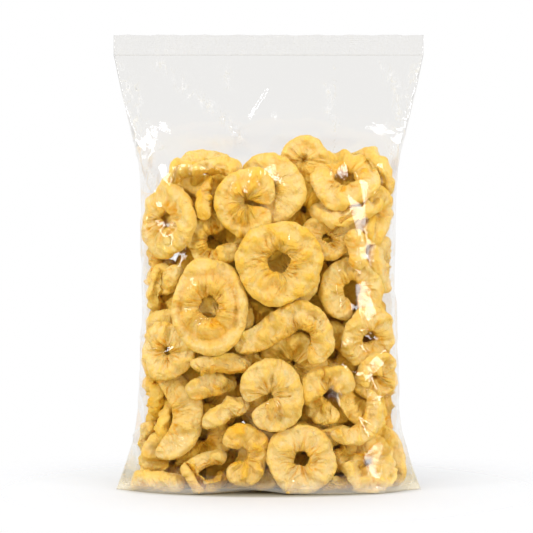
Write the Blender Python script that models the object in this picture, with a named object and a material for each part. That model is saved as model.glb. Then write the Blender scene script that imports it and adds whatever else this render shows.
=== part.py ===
"""A sealed clear bag full of dried apple rings, standing on its own filled base.

The bag is one solid, out to its film: a filled body with the rings pressed into its faces,
a flat head of empty film above them up to the top seal, and a base whose two bottom
corners stick out sideways. Metres, +Z up, front face at -Y, origin at the middle of the base.
"""

import math
import random

import bmesh
import bpy
from mathutils import Euler, Matrix, Vector

# Driving sizes of the bag.
BAG_HEIGHT = 0.295
SEAL_WIDTH = 0.200
SEAL_HEIGHT = 0.0135
SEAL_THICKNESS = 0.0016
HEAP_TOP = 0.222

# Stations of the bag's film, from the floor up: height, half width, half depth,
# and how square the faces (first) and the side ends (second) of that section are.
# The film folds in over the top of the heap, and above it its walls lie almost together.
STATIONS = (
    (0.0000, 0.0850, 0.0285, 3.6, 2.1),
    (0.0040, 0.0905, 0.0320, 3.6, 2.1),
    (0.0120, 0.0905, 0.0335, 3.4, 2.1),
    (0.0280, 0.0880, 0.0342, 3.2, 2.1),
    (0.0500, 0.0850, 0.0346, 3.0, 2.1),
    (0.0900, 0.0826, 0.0345, 2.9, 2.2),
    (0.1280, 0.0816, 0.0340, 2.9, 2.2),
    (0.1600, 0.0820, 0.0335, 2.9, 2.2),
    (0.2000, 0.0830, 0.0312, 2.8, 2.1),
    (0.2120, 0.0840, 0.0270, 2.8, 2.0),
    (0.2210, 0.0862, 0.0205, 2.8, 1.9),
    (0.2290, 0.0884, 0.0130, 2.8, 1.8),
    (0.2400, 0.0910, 0.0070, 2.8, 1.7),
    (0.2600, 0.0957, 0.0035, 3.0, 1.6),
    (BAG_HEIGHT - SEAL_HEIGHT, SEAL_WIDTH / 2, SEAL_THICKNESS / 2, 6.0, 1.6),
)
ROWS_BETWEEN_STATIONS = 2
POINTS_AROUND = 24
FINE_SAMPLES = 720

# The bottom corners of the film, which stick out sideways: how far out they reach, and
# their outline from the foot up, each point a share of that reach and a height.
EAR_FOOT = 0.0005
EAR_REACH = 0.0990
EAR_OUTLINE = (
    (1.0, EAR_FOOT), (0.985, 0.004), (0.955, 0.012), (0.927, 0.020), (0.893, 0.031), (0.861, 0.046),
)
EAR_ROOT = 0.070
EAR_THICKNESS = 0.0016

# How far the solid heart of the heap lies inside the film, where rings stand out on it,
# and over what heights that inset grows from the floor and fades below and above the heap's top.
HEART_INSET_DEPTH = 0.0085
HEART_INSET_WIDTH = 0.0045
INSET_GROWS = (0.004, 0.016)
INSET_FADES_BELOW = 0.012
INSET_FADES_ABOVE = 0.006

# The section of a dried ring, and how it is faceted. A section with so few corners is
# made a little larger, so that it is as wide and thick as the round one.
RING_THICKNESS = 0.0105
STEPS_AROUND_RING = 10
FEWEST_STEPS = 4
SECTION_CORNERS = 5
FACETED_WIDTH = 0.9
FACETED_THICKNESS = 0.87
RIM_WAVE = 0.0012
BAND_WAVE = 0.06
FILM_CLEARANCE = 0.0004
FLOOR_CLEARANCE = 0.0015

# A ring is seated where this share of its sections reach the film or lie nearer to it.
SEATED_SHARE = 2 / 3

# Rings that show at the front: how far across and up the middle is, the outer diameter
# and the hole's, then turn left-right, tilt back and the spin of its waves, in degrees,
# the length of its arc in degrees, and how deep it lies behind the film. Sizes in millimetres.
FRONT_RINGS = {
    "centre": (6.0, 149.5, 56, 14.5, 0, 3, 20, 360, 0),
    "left_big": (-38.4, 120.5, 57, 13, -5, 0, 75, 360, 0.5),
    "upper_left_face": (-15.0, 187.5, 44, 6, 0, 0, 140, 360, 0),
    "upper_right_tray": (50.0, 202.5, 50, 14, 5, 40, 10, 360, 2),
    "upper_right_under": (50.0, 186.5, 50, 12, 8, 44, 200, 360, 6),
    "left_turned": (-65.0, 175.5, 47, 10, -42, 0, 50, 360, 0),
    "hook": (20.5, 100.5, 48, 11, 0, 0, 40, 280, 0.5),
    "right_middle": (53.5, 130.5, 43, 11, 12, 0, 30, 360, 0),
    "right_lower": (64.6, 100.8, 40, 9, 26, 0, 60, 360, 0),
    "fan": (0.4, 63.6, 46, 4, 0, 0, 25, 330, 0),
    "plain": (21.7, 24.2, 46, 10, 0, 3, 0, 360, 0),
    "curled_left": (39.4, 62.6, 41, 8, 5, 0, 155, 300, 1),
    "curl": (55.0, 52.0, 47, 18, 14, 0, 310, 190, 2),
    "corner_crumpled": (64.0, 18.5, 42, 8, 18, 26, 90, 360, 0),
    "crescent": (-77.0, 47.0, 68, 28, -6, 0, 0, 172, 0),
    "c_low_left": (-18.5, 26.2, 41, 8, 4, 0, 5, 305, 1),
    "lying_top_left": (-46.0, 208.0, 50, 12, -8, 66, 0, 360, 2),
    "upper_left_cup": (-52.0, 191.0, 42, 9, -16, 10, 120, 360, 7),
    "shell": (2.0, 196.0, 46, 6, 4, 4, 160, 360, 7),
    "top_knob": (25.0, 211.0, 34, 6, 6, 10, 0, 360, 8),
    "right_edge_upper": (70.0, 170.0, 38, 9, 46, 0, 30, 360, 2),
    "finger": (59.8, 158.0, 36, 12, 14, 0, 330, 150, 4),
    "puffy_left": (-35.0, 162.5, 39, 9, -10, -8, 10, 360, 7),
    "left_edge_upper": (-70.5, 150.0, 38, 11, -44, 0, 200, 360, 2),
    "left_edge_middle": (-71.0, 117.0, 42, 8, -42, 0, 20, 360, 3),
    "flat_left": (-64.0, 89.5, 38, 8, -22, 0, 100, 360, 3),
    "stack_left": (-34.0, 83.5, 40, 10, 0, 60, 0, 360, 4),
    "tongue": (-28.0, 54.0, 38, 10, 10, 20, 100, 150, 5),
    "lying_low_left": (-70.0, 11.0, 40, 9, -8, 62, 30, 360, 1),
    "smile_low": (-47.5, 18.0, 38, 15, -4, 30, 270, 230, 1),
    "right_pair": (69.0, 76.0, 34, 7, 36, 0, 160, 360, 3),
    "right_edge_low": (74.0, 50.5, 38, 8, 56, 0, 20, 360, 4),
}

# The back and the narrow sides of the heap, which the picture doesn't show: whole rings.
BACK_ROW_HEIGHTS = (28, 82, 137, 193)
BACK_COLUMN_PITCH = 46
SIDE_HEIGHTS = (36, 108, 180)
BACK_COLUMN_SCATTER = 3
BACK_MOST_ACROSS = 60
SIDE_SCATTER = 5
HIDDEN_DIAMETERS = (44, 56)
SIDE_DIAMETERS = (38, 46)
HIDDEN_HOLE_SHARE = 0.2
HIDDEN_TILTS = (-6, 14)
# Past this far across, in millimetres, a ring turns with the bag's side, in degrees for each one.
TURNS_PAST = 40
TURN_RATE = 1.5
HIDDEN_SEED = 16

# The four ways that a ring can face.
FACINGS = {
    "front": Vector((0, -1, 0)),
    "back": Vector((0, 1, 0)),
    "left": Vector((-1, 0, 0)),
    "right": Vector((1, 0, 0)),
}


def clear_scene():
    for old in list(bpy.data.objects):
        bpy.data.objects.remove(old)


def smooth_step(value, low, high):
    share = min(1.0, max(0.0, (value - low) / (high - low)))
    return share * share * (3 - 2 * share)


def station_at(height):
    """Half width, half depth and the two squareness values of the film at this height."""
    height = min(max(height, STATIONS[0][0]), STATIONS[-1][0])
    for below, above in zip(STATIONS, STATIONS[1:]):
        if height <= above[0]:
            share = (height - below[0]) / (above[0] - below[0])
            return [a + (b - a) * share for a, b in zip(below[1:], above[1:])]
    return list(STATIONS[-1][1:])


def film_reach(point, facing):
    """How far the film stands from the bag's axis, the way the ring faces, past this point."""
    half_width, half_depth, face, side = station_at(point.z)
    if facing.y:
        share = min(abs(point.x) / half_width, 1.0)
        return half_depth * (1 - share**face) ** (1 / side)
    share = min(abs(point.y) / half_depth, 1.0)
    return half_width * (1 - share**side) ** (1 / face)


def section(half_width, half_depth, face, side):
    """Evenly spaced points round a section of the bag, from its +X end anticlockwise."""
    fine = []
    for step in range(FINE_SAMPLES + 1):
        angle = math.tau * step / FINE_SAMPLES
        c, s = math.cos(angle), math.sin(angle)
        x = half_width * math.copysign(abs(c) ** (2 / face), c)
        y = half_depth * math.copysign(abs(s) ** (2 / side), s)
        fine.append(Vector((x, y)))
    travelled = [0.0]
    for a, b in zip(fine, fine[1:]):
        travelled.append(travelled[-1] + (b - a).length)
    points, at = [], 0
    for step in range(POINTS_AROUND):
        target = travelled[-1] * step / POINTS_AROUND
        while travelled[at + 1] < target:
            at += 1
        share = (target - travelled[at]) / (travelled[at + 1] - travelled[at])
        points.append(fine[at].lerp(fine[at + 1], share))
    return points


def film_heights():
    heights = []
    for below, above in zip(STATIONS, STATIONS[1:]):
        for step in range(ROWS_BETWEEN_STATIONS):
            share = step / ROWS_BETWEEN_STATIONS
            heights.append(below[0] + (above[0] - below[0]) * share)
    return heights + [STATIONS[-1][0]]


def heart_section(height):
    """The section of the solid that the rings stand out from. It meets the film at both ends."""
    half_width, half_depth, face, side = station_at(height)
    inset = smooth_step(height, *INSET_GROWS) * (
        1 - smooth_step(height, HEAP_TOP - INSET_FADES_BELOW, HEAP_TOP + INSET_FADES_ABOVE)
    )
    return section(
        half_width - inset * HEART_INSET_WIDTH,
        half_depth - inset * HEART_INSET_DEPTH,
        face,
        side,
    )


def loft(name, rows):
    """A closed solid through rows of points, each row a list of 3-D points of equal length."""
    mesh = bmesh.new()
    loops = [[mesh.verts.new(point) for point in row] for row in rows]
    for lower, upper in zip(loops, loops[1:]):
        for i in range(len(lower)):
            j = (i + 1) % len(lower)
            mesh.faces.new((lower[i], lower[j], upper[j], upper[i]))
    mesh.faces.new(list(reversed(loops[0])))
    mesh.faces.new(loops[-1])
    return object_from(name, mesh)


def object_from(name, mesh):
    bmesh.ops.triangulate(mesh, faces=mesh.faces)
    bmesh.ops.recalc_face_normals(mesh, faces=mesh.faces)
    data = bpy.data.meshes.new(name)
    mesh.to_mesh(data)
    mesh.free()
    made = bpy.data.objects.new(name, data)
    bpy.context.scene.collection.objects.link(made)
    return made


def bag_body():
    """The heart of the heap, the empty head above it and the flat seal at the top."""
    rows = []
    for height in film_heights():
        rows.append([(p.x, p.y, height) for p in heart_section(height)])
    top = section(*STATIONS[-1][1:])
    rows.append([(p.x, p.y, BAG_HEIGHT) for p in top])
    return loft("bag_of_apple_rings", rows)


def ring_points(outer, hole, spin, arc):
    """Rows of section points along one ring, in the ring's own plane, which is XZ."""
    middle = (outer + hole) / 4
    half_band = (outer - hole) / 4
    closed = arc >= 360
    steps = STEPS_AROUND_RING
    if not closed:
        steps = max(FEWEST_STEPS, round(STEPS_AROUND_RING * arc / 360))
    rows = []
    for step in range(steps if closed else steps + 1):
        turn = math.radians(spin + arc * (step / steps - 0.5))
        wave = RIM_WAVE * math.sin(2 * turn + spin)
        fullness = 1 + BAND_WAVE * math.sin(3 * turn + spin)
        row = []
        for corner in range(SECTION_CORNERS):
            round_ = math.tau * (corner + 0.5) / SECTION_CORNERS
            radius = middle + half_band * fullness * math.cos(round_) / FACETED_WIDTH
            thick = RING_THICKNESS / 2 * math.sin(round_) / FACETED_THICKNESS + wave
            row.append(Vector((radius * math.cos(turn), thick, radius * math.sin(turn))))
        rows.append(row)
    return rows, closed


def ring_mesh(name, rows, closed):
    mesh = bmesh.new()
    loops = [[mesh.verts.new(point) for point in row] for row in rows]
    pairs = list(zip(loops, loops[1:]))
    if closed:
        pairs.append((loops[-1], loops[0]))
    for first, second in pairs:
        for i in range(SECTION_CORNERS):
            j = (i + 1) % SECTION_CORNERS
            mesh.faces.new((first[i], first[j], second[j], second[i]))
    if not closed:
        mesh.faces.new(loops[0])
        mesh.faces.new(loops[-1])
    return object_from(name, mesh)


def seated_ring(name, ring, facing):
    """One ring turned as it lies, then bent back so that no section of it passes the film."""
    across, up, outer, hole, turn, tilt, spin, arc, behind = ring
    rows, closed = ring_points(outer / 1000, hole / 1000, spin, arc)
    own_turn = Euler((-math.radians(tilt), 0, math.radians(turn)), "XYZ").to_matrix()
    # A ring is made to face -Y, with +X to its right, and is turned from there.
    to_facing = Matrix.Rotation(math.atan2(facing.x, -facing.y), 3, "Z")
    right = to_facing @ Vector((1, 0, 0))
    middle = right * (across / 1000) + Vector((0, 0, up / 1000))
    spots = [[to_facing @ own_turn @ point + middle for point in row] for row in rows]
    lowest = min(spot.z for row in spots for spot in row)
    lift = max(0.0, FLOOR_CLEARANCE - lowest)
    for row in spots:
        for spot in row:
            spot.z += lift
    rooms = [min(film_reach(s, facing) - facing.dot(s) for s in row) for row in spots]
    seat = sorted(rooms)[int(len(rooms) * SEATED_SHARE)]
    for row, room in zip(spots, rooms):
        out = min(room, seat) - FILM_CLEARANCE - behind / 1000
        for spot in row:
            spot += facing * out
            limit = station_at(spot.z)[0] - FILM_CLEARANCE
            spot.x = max(-limit, min(limit, spot.x))
    return ring_mesh(name, spots, closed)


def hidden_ring(draw, across, height, diameters):
    """A whole ring of an uneven size, turned and tilted a little."""
    outer = draw.uniform(*diameters)
    turn = -max(0, abs(across) - TURNS_PAST) * math.copysign(TURN_RATE, across)
    tilt = draw.uniform(*HIDDEN_TILTS)
    spin = draw.uniform(0, 360)
    return (across, height, outer, outer * HIDDEN_HOLE_SHARE, turn, tilt, spin, 360, 0)


def hidden_rings():
    """Staggered rows of rings over the back, and a column of them up each narrow side."""
    draw = random.Random(HIDDEN_SEED)
    rings = []
    for row, height in enumerate(BACK_ROW_HEIGHTS):
        offset = 0 if row % 2 else BACK_COLUMN_PITCH / 2
        for column in range(-2, 2 if offset else 3):
            across = column * BACK_COLUMN_PITCH + offset
            across += draw.uniform(-BACK_COLUMN_SCATTER, BACK_COLUMN_SCATTER)
            across = max(-BACK_MOST_ACROSS, min(BACK_MOST_ACROSS, across))
            rings.append((hidden_ring(draw, across, height, HIDDEN_DIAMETERS), "back"))
    for height in SIDE_HEIGHTS:
        for side in ("left", "right"):
            across = draw.uniform(-SIDE_SCATTER, SIDE_SCATTER)
            rings.append((hidden_ring(draw, across, height, SIDE_DIAMETERS), side))
    return rings


def bottom_ears():
    """The two thin corners of film at the floor, one plate through the foot of the bag."""
    outline = [(EAR_ROOT, EAR_FOOT)]
    outline += [(EAR_REACH * share, height) for share, height in EAR_OUTLINE]
    outline += [(EAR_ROOT, EAR_OUTLINE[-1][1])]
    outline += [(-x, z) for x, z in reversed(outline)]
    rows = []
    for y in (-EAR_THICKNESS / 2, EAR_THICKNESS / 2):
        rows.append([(x, y, z) for x, z in outline])
    return loft("ears", rows)


def keep_largest_shell(obj):
    """Drops loose scraps and the walls of hollows that fusing has sealed."""
    mesh = bmesh.new()
    mesh.from_mesh(obj.data)
    bmesh.ops.triangulate(mesh, faces=mesh.faces)
    left = set(mesh.faces)
    shells = []
    while left:
        seed = left.pop()
        shell, front = [seed], [seed]
        while front:
            for edge in front.pop().edges:
                for face in edge.link_faces:
                    if face in left:
                        left.remove(face)
                        shell.append(face)
                        front.append(face)
        shells.append(shell)
    largest = max(shells, key=len)
    scraps = [face for shell in shells if shell is not largest for face in shell]
    bmesh.ops.delete(mesh, geom=scraps, context="FACES")
    mesh.to_mesh(obj.data)
    mesh.free()


def fuse(body, pieces):
    """One solid from the body and all the pieces."""
    group = bpy.data.collections.new("pieces_to_fuse")
    bpy.context.scene.collection.children.link(group)
    for piece in pieces:
        bpy.context.scene.collection.objects.unlink(piece)
        group.objects.link(piece)
    union = body.modifiers.new("pieces", "BOOLEAN")
    union.operation = "UNION"
    union.operand_type = "COLLECTION"
    union.collection = group
    union.solver = "MANIFOLD"
    bpy.context.view_layer.update()
    graph = bpy.context.evaluated_depsgraph_get()
    joined = bpy.data.meshes.new_from_object(body.evaluated_get(graph))
    body.modifiers.clear()
    body.data = joined
    for piece in pieces:
        bpy.data.objects.remove(piece)
    bpy.data.collections.remove(group)
    keep_largest_shell(body)


def apple_material():
    material = bpy.data.materials.new("filmed_apple")
    material.use_nodes = True
    shader = material.node_tree.nodes["Principled BSDF"]
    shader.inputs["Base Color"].default_value = (0.78, 0.47, 0.12, 1)
    shader.inputs["Roughness"].default_value = 0.35
    shader.inputs["Metallic"].default_value = 0.0
    return material


def centre_on_origin(body):
    """Sets the solid on the floor with the middle of its box over the origin."""
    lows = [min(v.co[axis] for v in body.data.vertices) for axis in range(3)]
    highs = [max(v.co[axis] for v in body.data.vertices) for axis in range(3)]
    shift = Vector((-(lows[0] + highs[0]) / 2, -(lows[1] + highs[1]) / 2, -lows[2]))
    body.data.transform(Matrix.Translation(shift))


def main():
    clear_scene()
    body = bag_body()
    pieces = [bottom_ears()]
    for name, ring in FRONT_RINGS.items():
        pieces.append(seated_ring(name, ring, FACINGS["front"]))
    for number, (ring, side) in enumerate(hidden_rings()):
        pieces.append(seated_ring(f"{side}_{number}", ring, FACINGS[side]))
    fuse(body, pieces)
    centre_on_origin(body)
    body.data.materials.clear()
    body.data.materials.append(apple_material())


main()
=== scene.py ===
import math
from collections import namedtuple

import bpy
import numpy as np
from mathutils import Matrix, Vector
from mathutils.geometry import delaunay_2d_cdt


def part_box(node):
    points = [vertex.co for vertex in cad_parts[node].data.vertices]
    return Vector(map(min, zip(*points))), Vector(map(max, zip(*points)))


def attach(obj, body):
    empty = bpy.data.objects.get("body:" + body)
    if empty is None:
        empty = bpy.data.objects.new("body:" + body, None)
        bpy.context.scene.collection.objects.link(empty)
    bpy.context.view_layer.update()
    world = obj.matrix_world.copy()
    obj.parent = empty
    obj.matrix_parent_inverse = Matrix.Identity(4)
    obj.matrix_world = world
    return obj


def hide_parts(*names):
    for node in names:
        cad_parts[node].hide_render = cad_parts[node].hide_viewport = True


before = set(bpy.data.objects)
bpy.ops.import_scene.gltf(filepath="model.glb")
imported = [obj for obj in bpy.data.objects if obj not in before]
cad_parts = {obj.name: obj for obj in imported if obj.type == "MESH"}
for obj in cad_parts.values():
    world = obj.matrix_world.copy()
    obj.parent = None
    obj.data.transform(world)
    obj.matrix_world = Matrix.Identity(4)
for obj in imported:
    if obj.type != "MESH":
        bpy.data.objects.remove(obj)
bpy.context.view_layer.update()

MM = 0.001
NODE = "bag_of_apple_rings"
BODY = "root"
BAG_LOW, BAG_HIGH = (np.array(corner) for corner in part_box(NODE))

# The bag's film when it is filled out, as in the solid: height, half width, half depth,
# and how square the faces (first) and the side ends (second) of that section are.
SEAL_HEIGHT = 0.0135
SEAL_FOOT = BAG_HIGH[2] - SEAL_HEIGHT
STATIONS = np.array((
    (0.0000, 0.0850, 0.0285, 3.6, 2.1),
    (0.0040, 0.0905, 0.0320, 3.6, 2.1),
    (0.0120, 0.0905, 0.0335, 3.4, 2.1),
    (0.0280, 0.0880, 0.0342, 3.2, 2.1),
    (0.0500, 0.0850, 0.0346, 3.0, 2.1),
    (0.0900, 0.0826, 0.0345, 2.9, 2.2),
    (0.1280, 0.0816, 0.0340, 2.9, 2.2),
    (0.1600, 0.0820, 0.0335, 2.9, 2.2),
    (0.2000, 0.0830, 0.0312, 2.8, 2.1),
    (0.2120, 0.0840, 0.0270, 2.8, 2.0),
    (0.2210, 0.0862, 0.0205, 2.8, 1.9),
    (0.2290, 0.0884, 0.0130, 2.8, 1.8),
    (0.2400, 0.0910, 0.0070, 2.8, 1.7),
    (0.2600, 0.0957, 0.0035, 3.0, 1.6),
    (SEAL_FOOT, BAG_HIGH[0], 0.0008, 3.0, 1.6),
))
STATION_STEP = 0.0005
ROUNDING_STEPS = 14


def softened_stations():
    """The stations at every half millimetre, with their corners rounded off."""
    heights = np.arange(0, SEAL_FOOT + STATION_STEP, STATION_STEP)
    table = [np.interp(heights, STATIONS[:, 0], STATIONS[:, i]) for i in range(1, 5)]
    window = np.hanning(2 * ROUNDING_STEPS + 3)[1:-1]
    window /= window.sum()
    soft = []
    for values in table:
        before = 2 * values[0] - values[ROUNDING_STEPS:0:-1]
        after = 2 * values[-1] - values[-2:-ROUNDING_STEPS - 2:-1]
        soft.append(np.convolve(np.concatenate([before, values, after]), window, "valid"))
    return heights, soft


SOFT_HEIGHTS, SOFT_TABLE = softened_stations()


def film_section(height):
    """Half width, half depth and the two squareness values of the film at these heights."""
    return [np.interp(height, SOFT_HEIGHTS, values) for values in SOFT_TABLE]


def film_depth(across, height):
    """How far the film stands from the bag's middle plane at this place on a face."""
    half_width, half_depth, face, side = film_section(height)
    share = np.minimum(np.abs(across) / half_width, 1.0)
    return half_depth * (1 - share**face) ** (1 / side)


# The rings, in millimetres and degrees. x and z place the middle in the shown face, and
# depth is how far its front lies behind the film. oval is its height over its width.
# turn faces it sideways, tilt leans its top back, roll spins it. Of an open ring, arc is
# what is left of the circle, open_at the middle of the gap and tail a straightened end.
# warp bends it like a crisp, collar raises its inner rim, rough crumples it, and tint
# goes from pale yellow at 0 to orange tan at 1.
Ring = namedtuple(
    "Ring",
    "x z depth outer hole turn tilt roll oval arc open_at tail taper cleft "
    "puff pucker warp collar rough tint thick",
    defaults=(0, 0, 0, 1.0, 360, 0, 0, 0, 0, 0, 1.0, 2.0, 0.0, 1.0, 0.4, 9.0),
)


def banana(x, z, depth, length, width, bow, angle, **looks):
    """A short piece of a ring, lying along this angle with its middle at x, z and its back up."""
    middle = math.radians(angle + 90)
    arc = math.degrees(length / bow)
    return Ring(
        x - bow * math.cos(middle), z - bow * math.sin(middle), depth, 2 * bow + width, 2 * bow - width,
        arc=arc, open_at=angle + 270, puff=1.0, warp=1.0, **looks,
    )


# The rings that show at the front, placed after the photo.
FRONT = {
    "centre": Ring(6.1, 148.8, 0, 56, 14, tilt=3, warp=1.2, rough=1.15, tint=0.8, oval=0.98),
    "left_big": Ring(-38.4, 119.9, 1, 53, 12, turn=-5, oval=1.18, collar=3.2, rough=1, tint=0.4),
    "face_upper_left": Ring(-15, 186.6, 1, 43.5, 3, oval=1.06, arc=352, open_at=352, collar=1.8,
        tint=0.8, thick=10, puff=0.6, rough=1.2),
    "tray": Ring(49.5, 202, 3, 48, 14, turn=5, tilt=40, warp=2.5, rough=1.1, tint=0.35),
    "under_tray": Ring(49.7, 186.5, 4, 50, 12, turn=6, tilt=42, warp=3, rough=0.9, tint=0.25, roll=70),
    "left_turned": Ring(-65.5, 174.6, 0, 47, 10, turn=-40, oval=1.04, warp=1.5, tint=0.3, roll=40,
        rough=1.2),
    "hook": Ring(20.5, 100, 3, 48, 11, arc=200, open_at=210, tail=38, taper=0.25, tint=0.5, rough=1.8,
        thick=10),
    "right_middle": Ring(53.5, 131, 3, 43, 11, turn=12, oval=1.04, arc=342, open_at=284, tint=0.25),
    "right_lower": Ring(64.6, 100.4, 1, 40, 9, turn=26, oval=1.02, rough=1.1, tint=0.15, roll=80),
    "fan": Ring(0.5, 63.4, 1, 44, 3, oval=1.12, arc=338, open_at=206, rough=1.6, tint=0.25, thick=10,
        puff=0.6),
    "plain": Ring(21.5, 23.6, 1, 46.5, 9.5, tilt=3, oval=0.96, rough=1.05, tint=0.4),
    "curled_left": Ring(39.4, 62.4, 4, 39, 8, turn=5, oval=1.1, arc=295, open_at=335, warp=3.5,
        rough=2.3, tint=0.65, thick=12, puff=0.5),
    "curl": Ring(53.5, 55, 2, 49, 22, turn=12, arc=172, open_at=130, taper=0.3, warp=2, rough=1.7,
        tint=0.3, thick=12, puff=0.7),
    "inner_column": banana(52.3, 53.4, 5, 26, 14, 30, 90, tint=1, rough=1.4, thick=12),
    "corner": Ring(64, 18.5, 2, 42, 4, turn=18, tilt=32, open_at=140, cleft=2.5, warp=4, rough=2.3,
        tint=0.4),
    "crescent": Ring(-74, 47.8, 0, 66, 24, turn=-8, oval=1.06, arc=168, open_at=180, taper=0.45,
        rough=0.75, tint=0.3, thick=11, warp=1),
    "c_low_left": Ring(-18.5, 26, 3, 39, 7, turn=4, oval=1.08, arc=305, open_at=185, rough=1.1, tint=1,
        thick=12, puff=0.5),
    "lying_top_left": banana(-46.4, 207.5, 3, 52, 11, 60, 3, tint=0.4, rough=1.6, thick=12),
    "finger_orange": banana(-42, 191, 5, 32, 10, 40, 86, tint=1, rough=1.6, thick=10),
    "shell": Ring(1.6, 195, 8, 45, 3, turn=4, tilt=4, oval=1.05, pucker=0, warp=4, rough=0.9, tint=0.5,
        thick=11),
    "puffy_left": Ring(-35, 162, 7, 39, 10, turn=-10, tilt=-8, arc=305, open_at=25, warp=3, rough=1.5,
        tint=0.65, thick=13, puff=0.8),
    "finger_right": banana(59.8, 157.5, 4, 28, 14, 28, -56, tint=0.25, rough=1, thick=11),
    "flat_left": Ring(-66, 90.5, 3, 38, 5, turn=-24, tilt=5, warp=2.5, rough=1.1, tint=0.35),
    "stack_upper": banana(-34, 83.5, 3, 42, 12.5, 70, 2, tint=0.6, rough=1.5, thick=12),
    "stack_lower": banana(-37, 69.5, 5, 35, 15, 50, 5, tint=0.4, rough=1.6, thick=13),
    "tongue": banana(-28.5, 53.5, 4, 34, 13, 35, 27, tint=0.45, rough=1.5, thick=12),
    "tongue_low": banana(-41.5, 20.5, 1, 31, 12, 30, 20, tint=0.3, rough=1, thick=12),
    "smile_low": Ring(-48.3, 16, 2, 40, 18, oval=0.86, arc=195, open_at=90, taper=0.2, rough=1, tint=1,
        thick=11, puff=0.6),
    "lying_low_left": banana(-73.5, 8, 0, 42, 13.5, 80, 2, turn=-4, tint=0.3, rough=0.9, thick=12),
    "side_low_left": banana(-86, 26, 20, 38, 14, 70, 78, turn=-30, tint=0.3, rough=1.2, thick=11),
    "left_face": Ring(-69, 112, 10, 42, 5, turn=-40, rough=1, tint=0.2),
    "left_edge_upper": Ring(-70, 148, 6, 42, 13, turn=-44, warp=3, arc=310, open_at=30, rough=1.3,
        tint=0.4, thick=11, puff=0.5),
    "left_knobby": Ring(-74, 58, 18, 36, 11, turn=-30, warp=3, rough=1.7, tint=0.9, thick=11, puff=0.5),
    "right_edge_low": banana(76, 51, 3, 36, 13, 70, 88, tint=0.35, rough=1.2, thick=11),
    "right_pair": Ring(68.5, 75.5, 4, 32, 5, turn=30, tilt=-6, warp=3, rough=1.5, tint=0.5, puff=0.4),
}

# Those behind them, which show in the gaps and over the top.
SECOND = {
    "top_left_behind": Ring(-42, 203, 13, 44, 5, tilt=50, rough=1.2, tint=0.5, thick=10),
    "left_upper_cup": Ring(-55, 189, 14, 38, 8, turn=-12, tilt=10, warp=3, rough=1, tint=0.35),
    "top_knob": Ring(25, 211, 12, 33, 2, turn=4, tilt=14, collar=1.5, rough=0.8, tint=0.4),
    "top_right_behind": Ring(70.5, 203, 9, 38, 7, turn=46, tilt=10, rough=0.7, tint=0.25),
    "orange_hole_right": Ring(73, 169, 6, 35, 9, turn=46, warp=3, rough=1, tint=0.85),
    "pale_below_tray": Ring(38, 164, 9, 33, 6, turn=10, tilt=-8, rough=1.4, tint=0.35),
    "dark_behind_centre": Ring(40, 150, 14, 36, 8, turn=8, tilt=-14, rough=1.2, tint=0.9),
    "right_edge_wrinkled": Ring(72, 146, 6, 38, 4, turn=34, warp=2, rough=0.8, tint=0.35),
    "left_edge_lower": Ring(-76, 82, 13, 36, 9, turn=-50, warp=2, rough=1, tint=0.7),
    "left_edge_middle": Ring(-73, 132, 12, 38, 8, turn=-50, warp=3, rough=1.4, tint=0.5),
    "under_hook": Ring(16, 84, 12, 44, 3, tilt=-10, turn=-4, rough=1.3, tint=0.5),
    "behind_hook_left": Ring(-10, 104, 14, 40, 9, turn=-6, tilt=8, rough=1.3, tint=0.6),
    "right_of_hook": Ring(41, 88, 14, 40, 9, turn=10, tilt=-8, rough=1.3, tint=0.7),
    "right_edge_middle": Ring(74, 124, 8, 36, 6, turn=42, warp=2, rough=0.8, tint=0.35),
    "behind_curl": Ring(46, 28, 13, 38, 7, turn=8, tilt=12, rough=1.3, tint=0.55),
    "low_right_band": banana(46, 5.5, 5, 30, 10, 60, 2, tint=0.4, thick=11),
    "low_middle": Ring(-4, 20, 10, 38, 8, turn=-2, tilt=6, rough=1, tint=0.35),
    "behind_fan": Ring(-18, 72, 14, 42, 9, tilt=-6, rough=1.3, tint=0.55),
    "behind_crescent": Ring(-72, 45, 20, 42, 4, turn=-30, rough=1.3, tint=0.7),
    "behind_left_big": Ring(-44, 138, 14, 44, 9, turn=-12, tilt=8, rough=1.2, tint=0.8),
    "behind_upper": Ring(-8, 166, 14, 42, 9, turn=-4, tilt=6, rough=1.3, tint=0.6),
    "behind_shell_right": Ring(24, 184, 15, 42, 4, turn=4, tilt=8, rough=1.2, tint=0.8),
    "behind_curl_upper": Ring(60, 60, 14, 40, 4, turn=14, tilt=-6, rough=1.3, tint=0.7),
    "behind_top_knob": Ring(22, 202, 20, 36, 3, turn=3, tilt=8, rough=1.2, tint=0.8),
    "behind_centre": Ring(15, 139, 11, 40, 3, turn=2, tilt=4, rough=1.1, tint=0.3),
    "behind_left_hole": Ring(-30, 112, 11, 40, 3, turn=-6, tilt=4, rough=1.1, tint=0.3),
    "behind_fan_notch": Ring(2, 58, 13, 36, 2, turn=2, tilt=-4, rough=1.2, tint=0.7),
    "behind_plain": Ring(23, 26, 16, 40, 3, turn=4, tilt=4, rough=1.2, tint=0.8),
    "behind_left_low": Ring(-78, 47, 24, 42, 3, turn=-40, rough=1.2, tint=0.7),
    "behind_low_left": Ring(-46, 36, 12, 42, 9, turn=-10, tilt=10, rough=1.3, tint=0.6),
}

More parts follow.
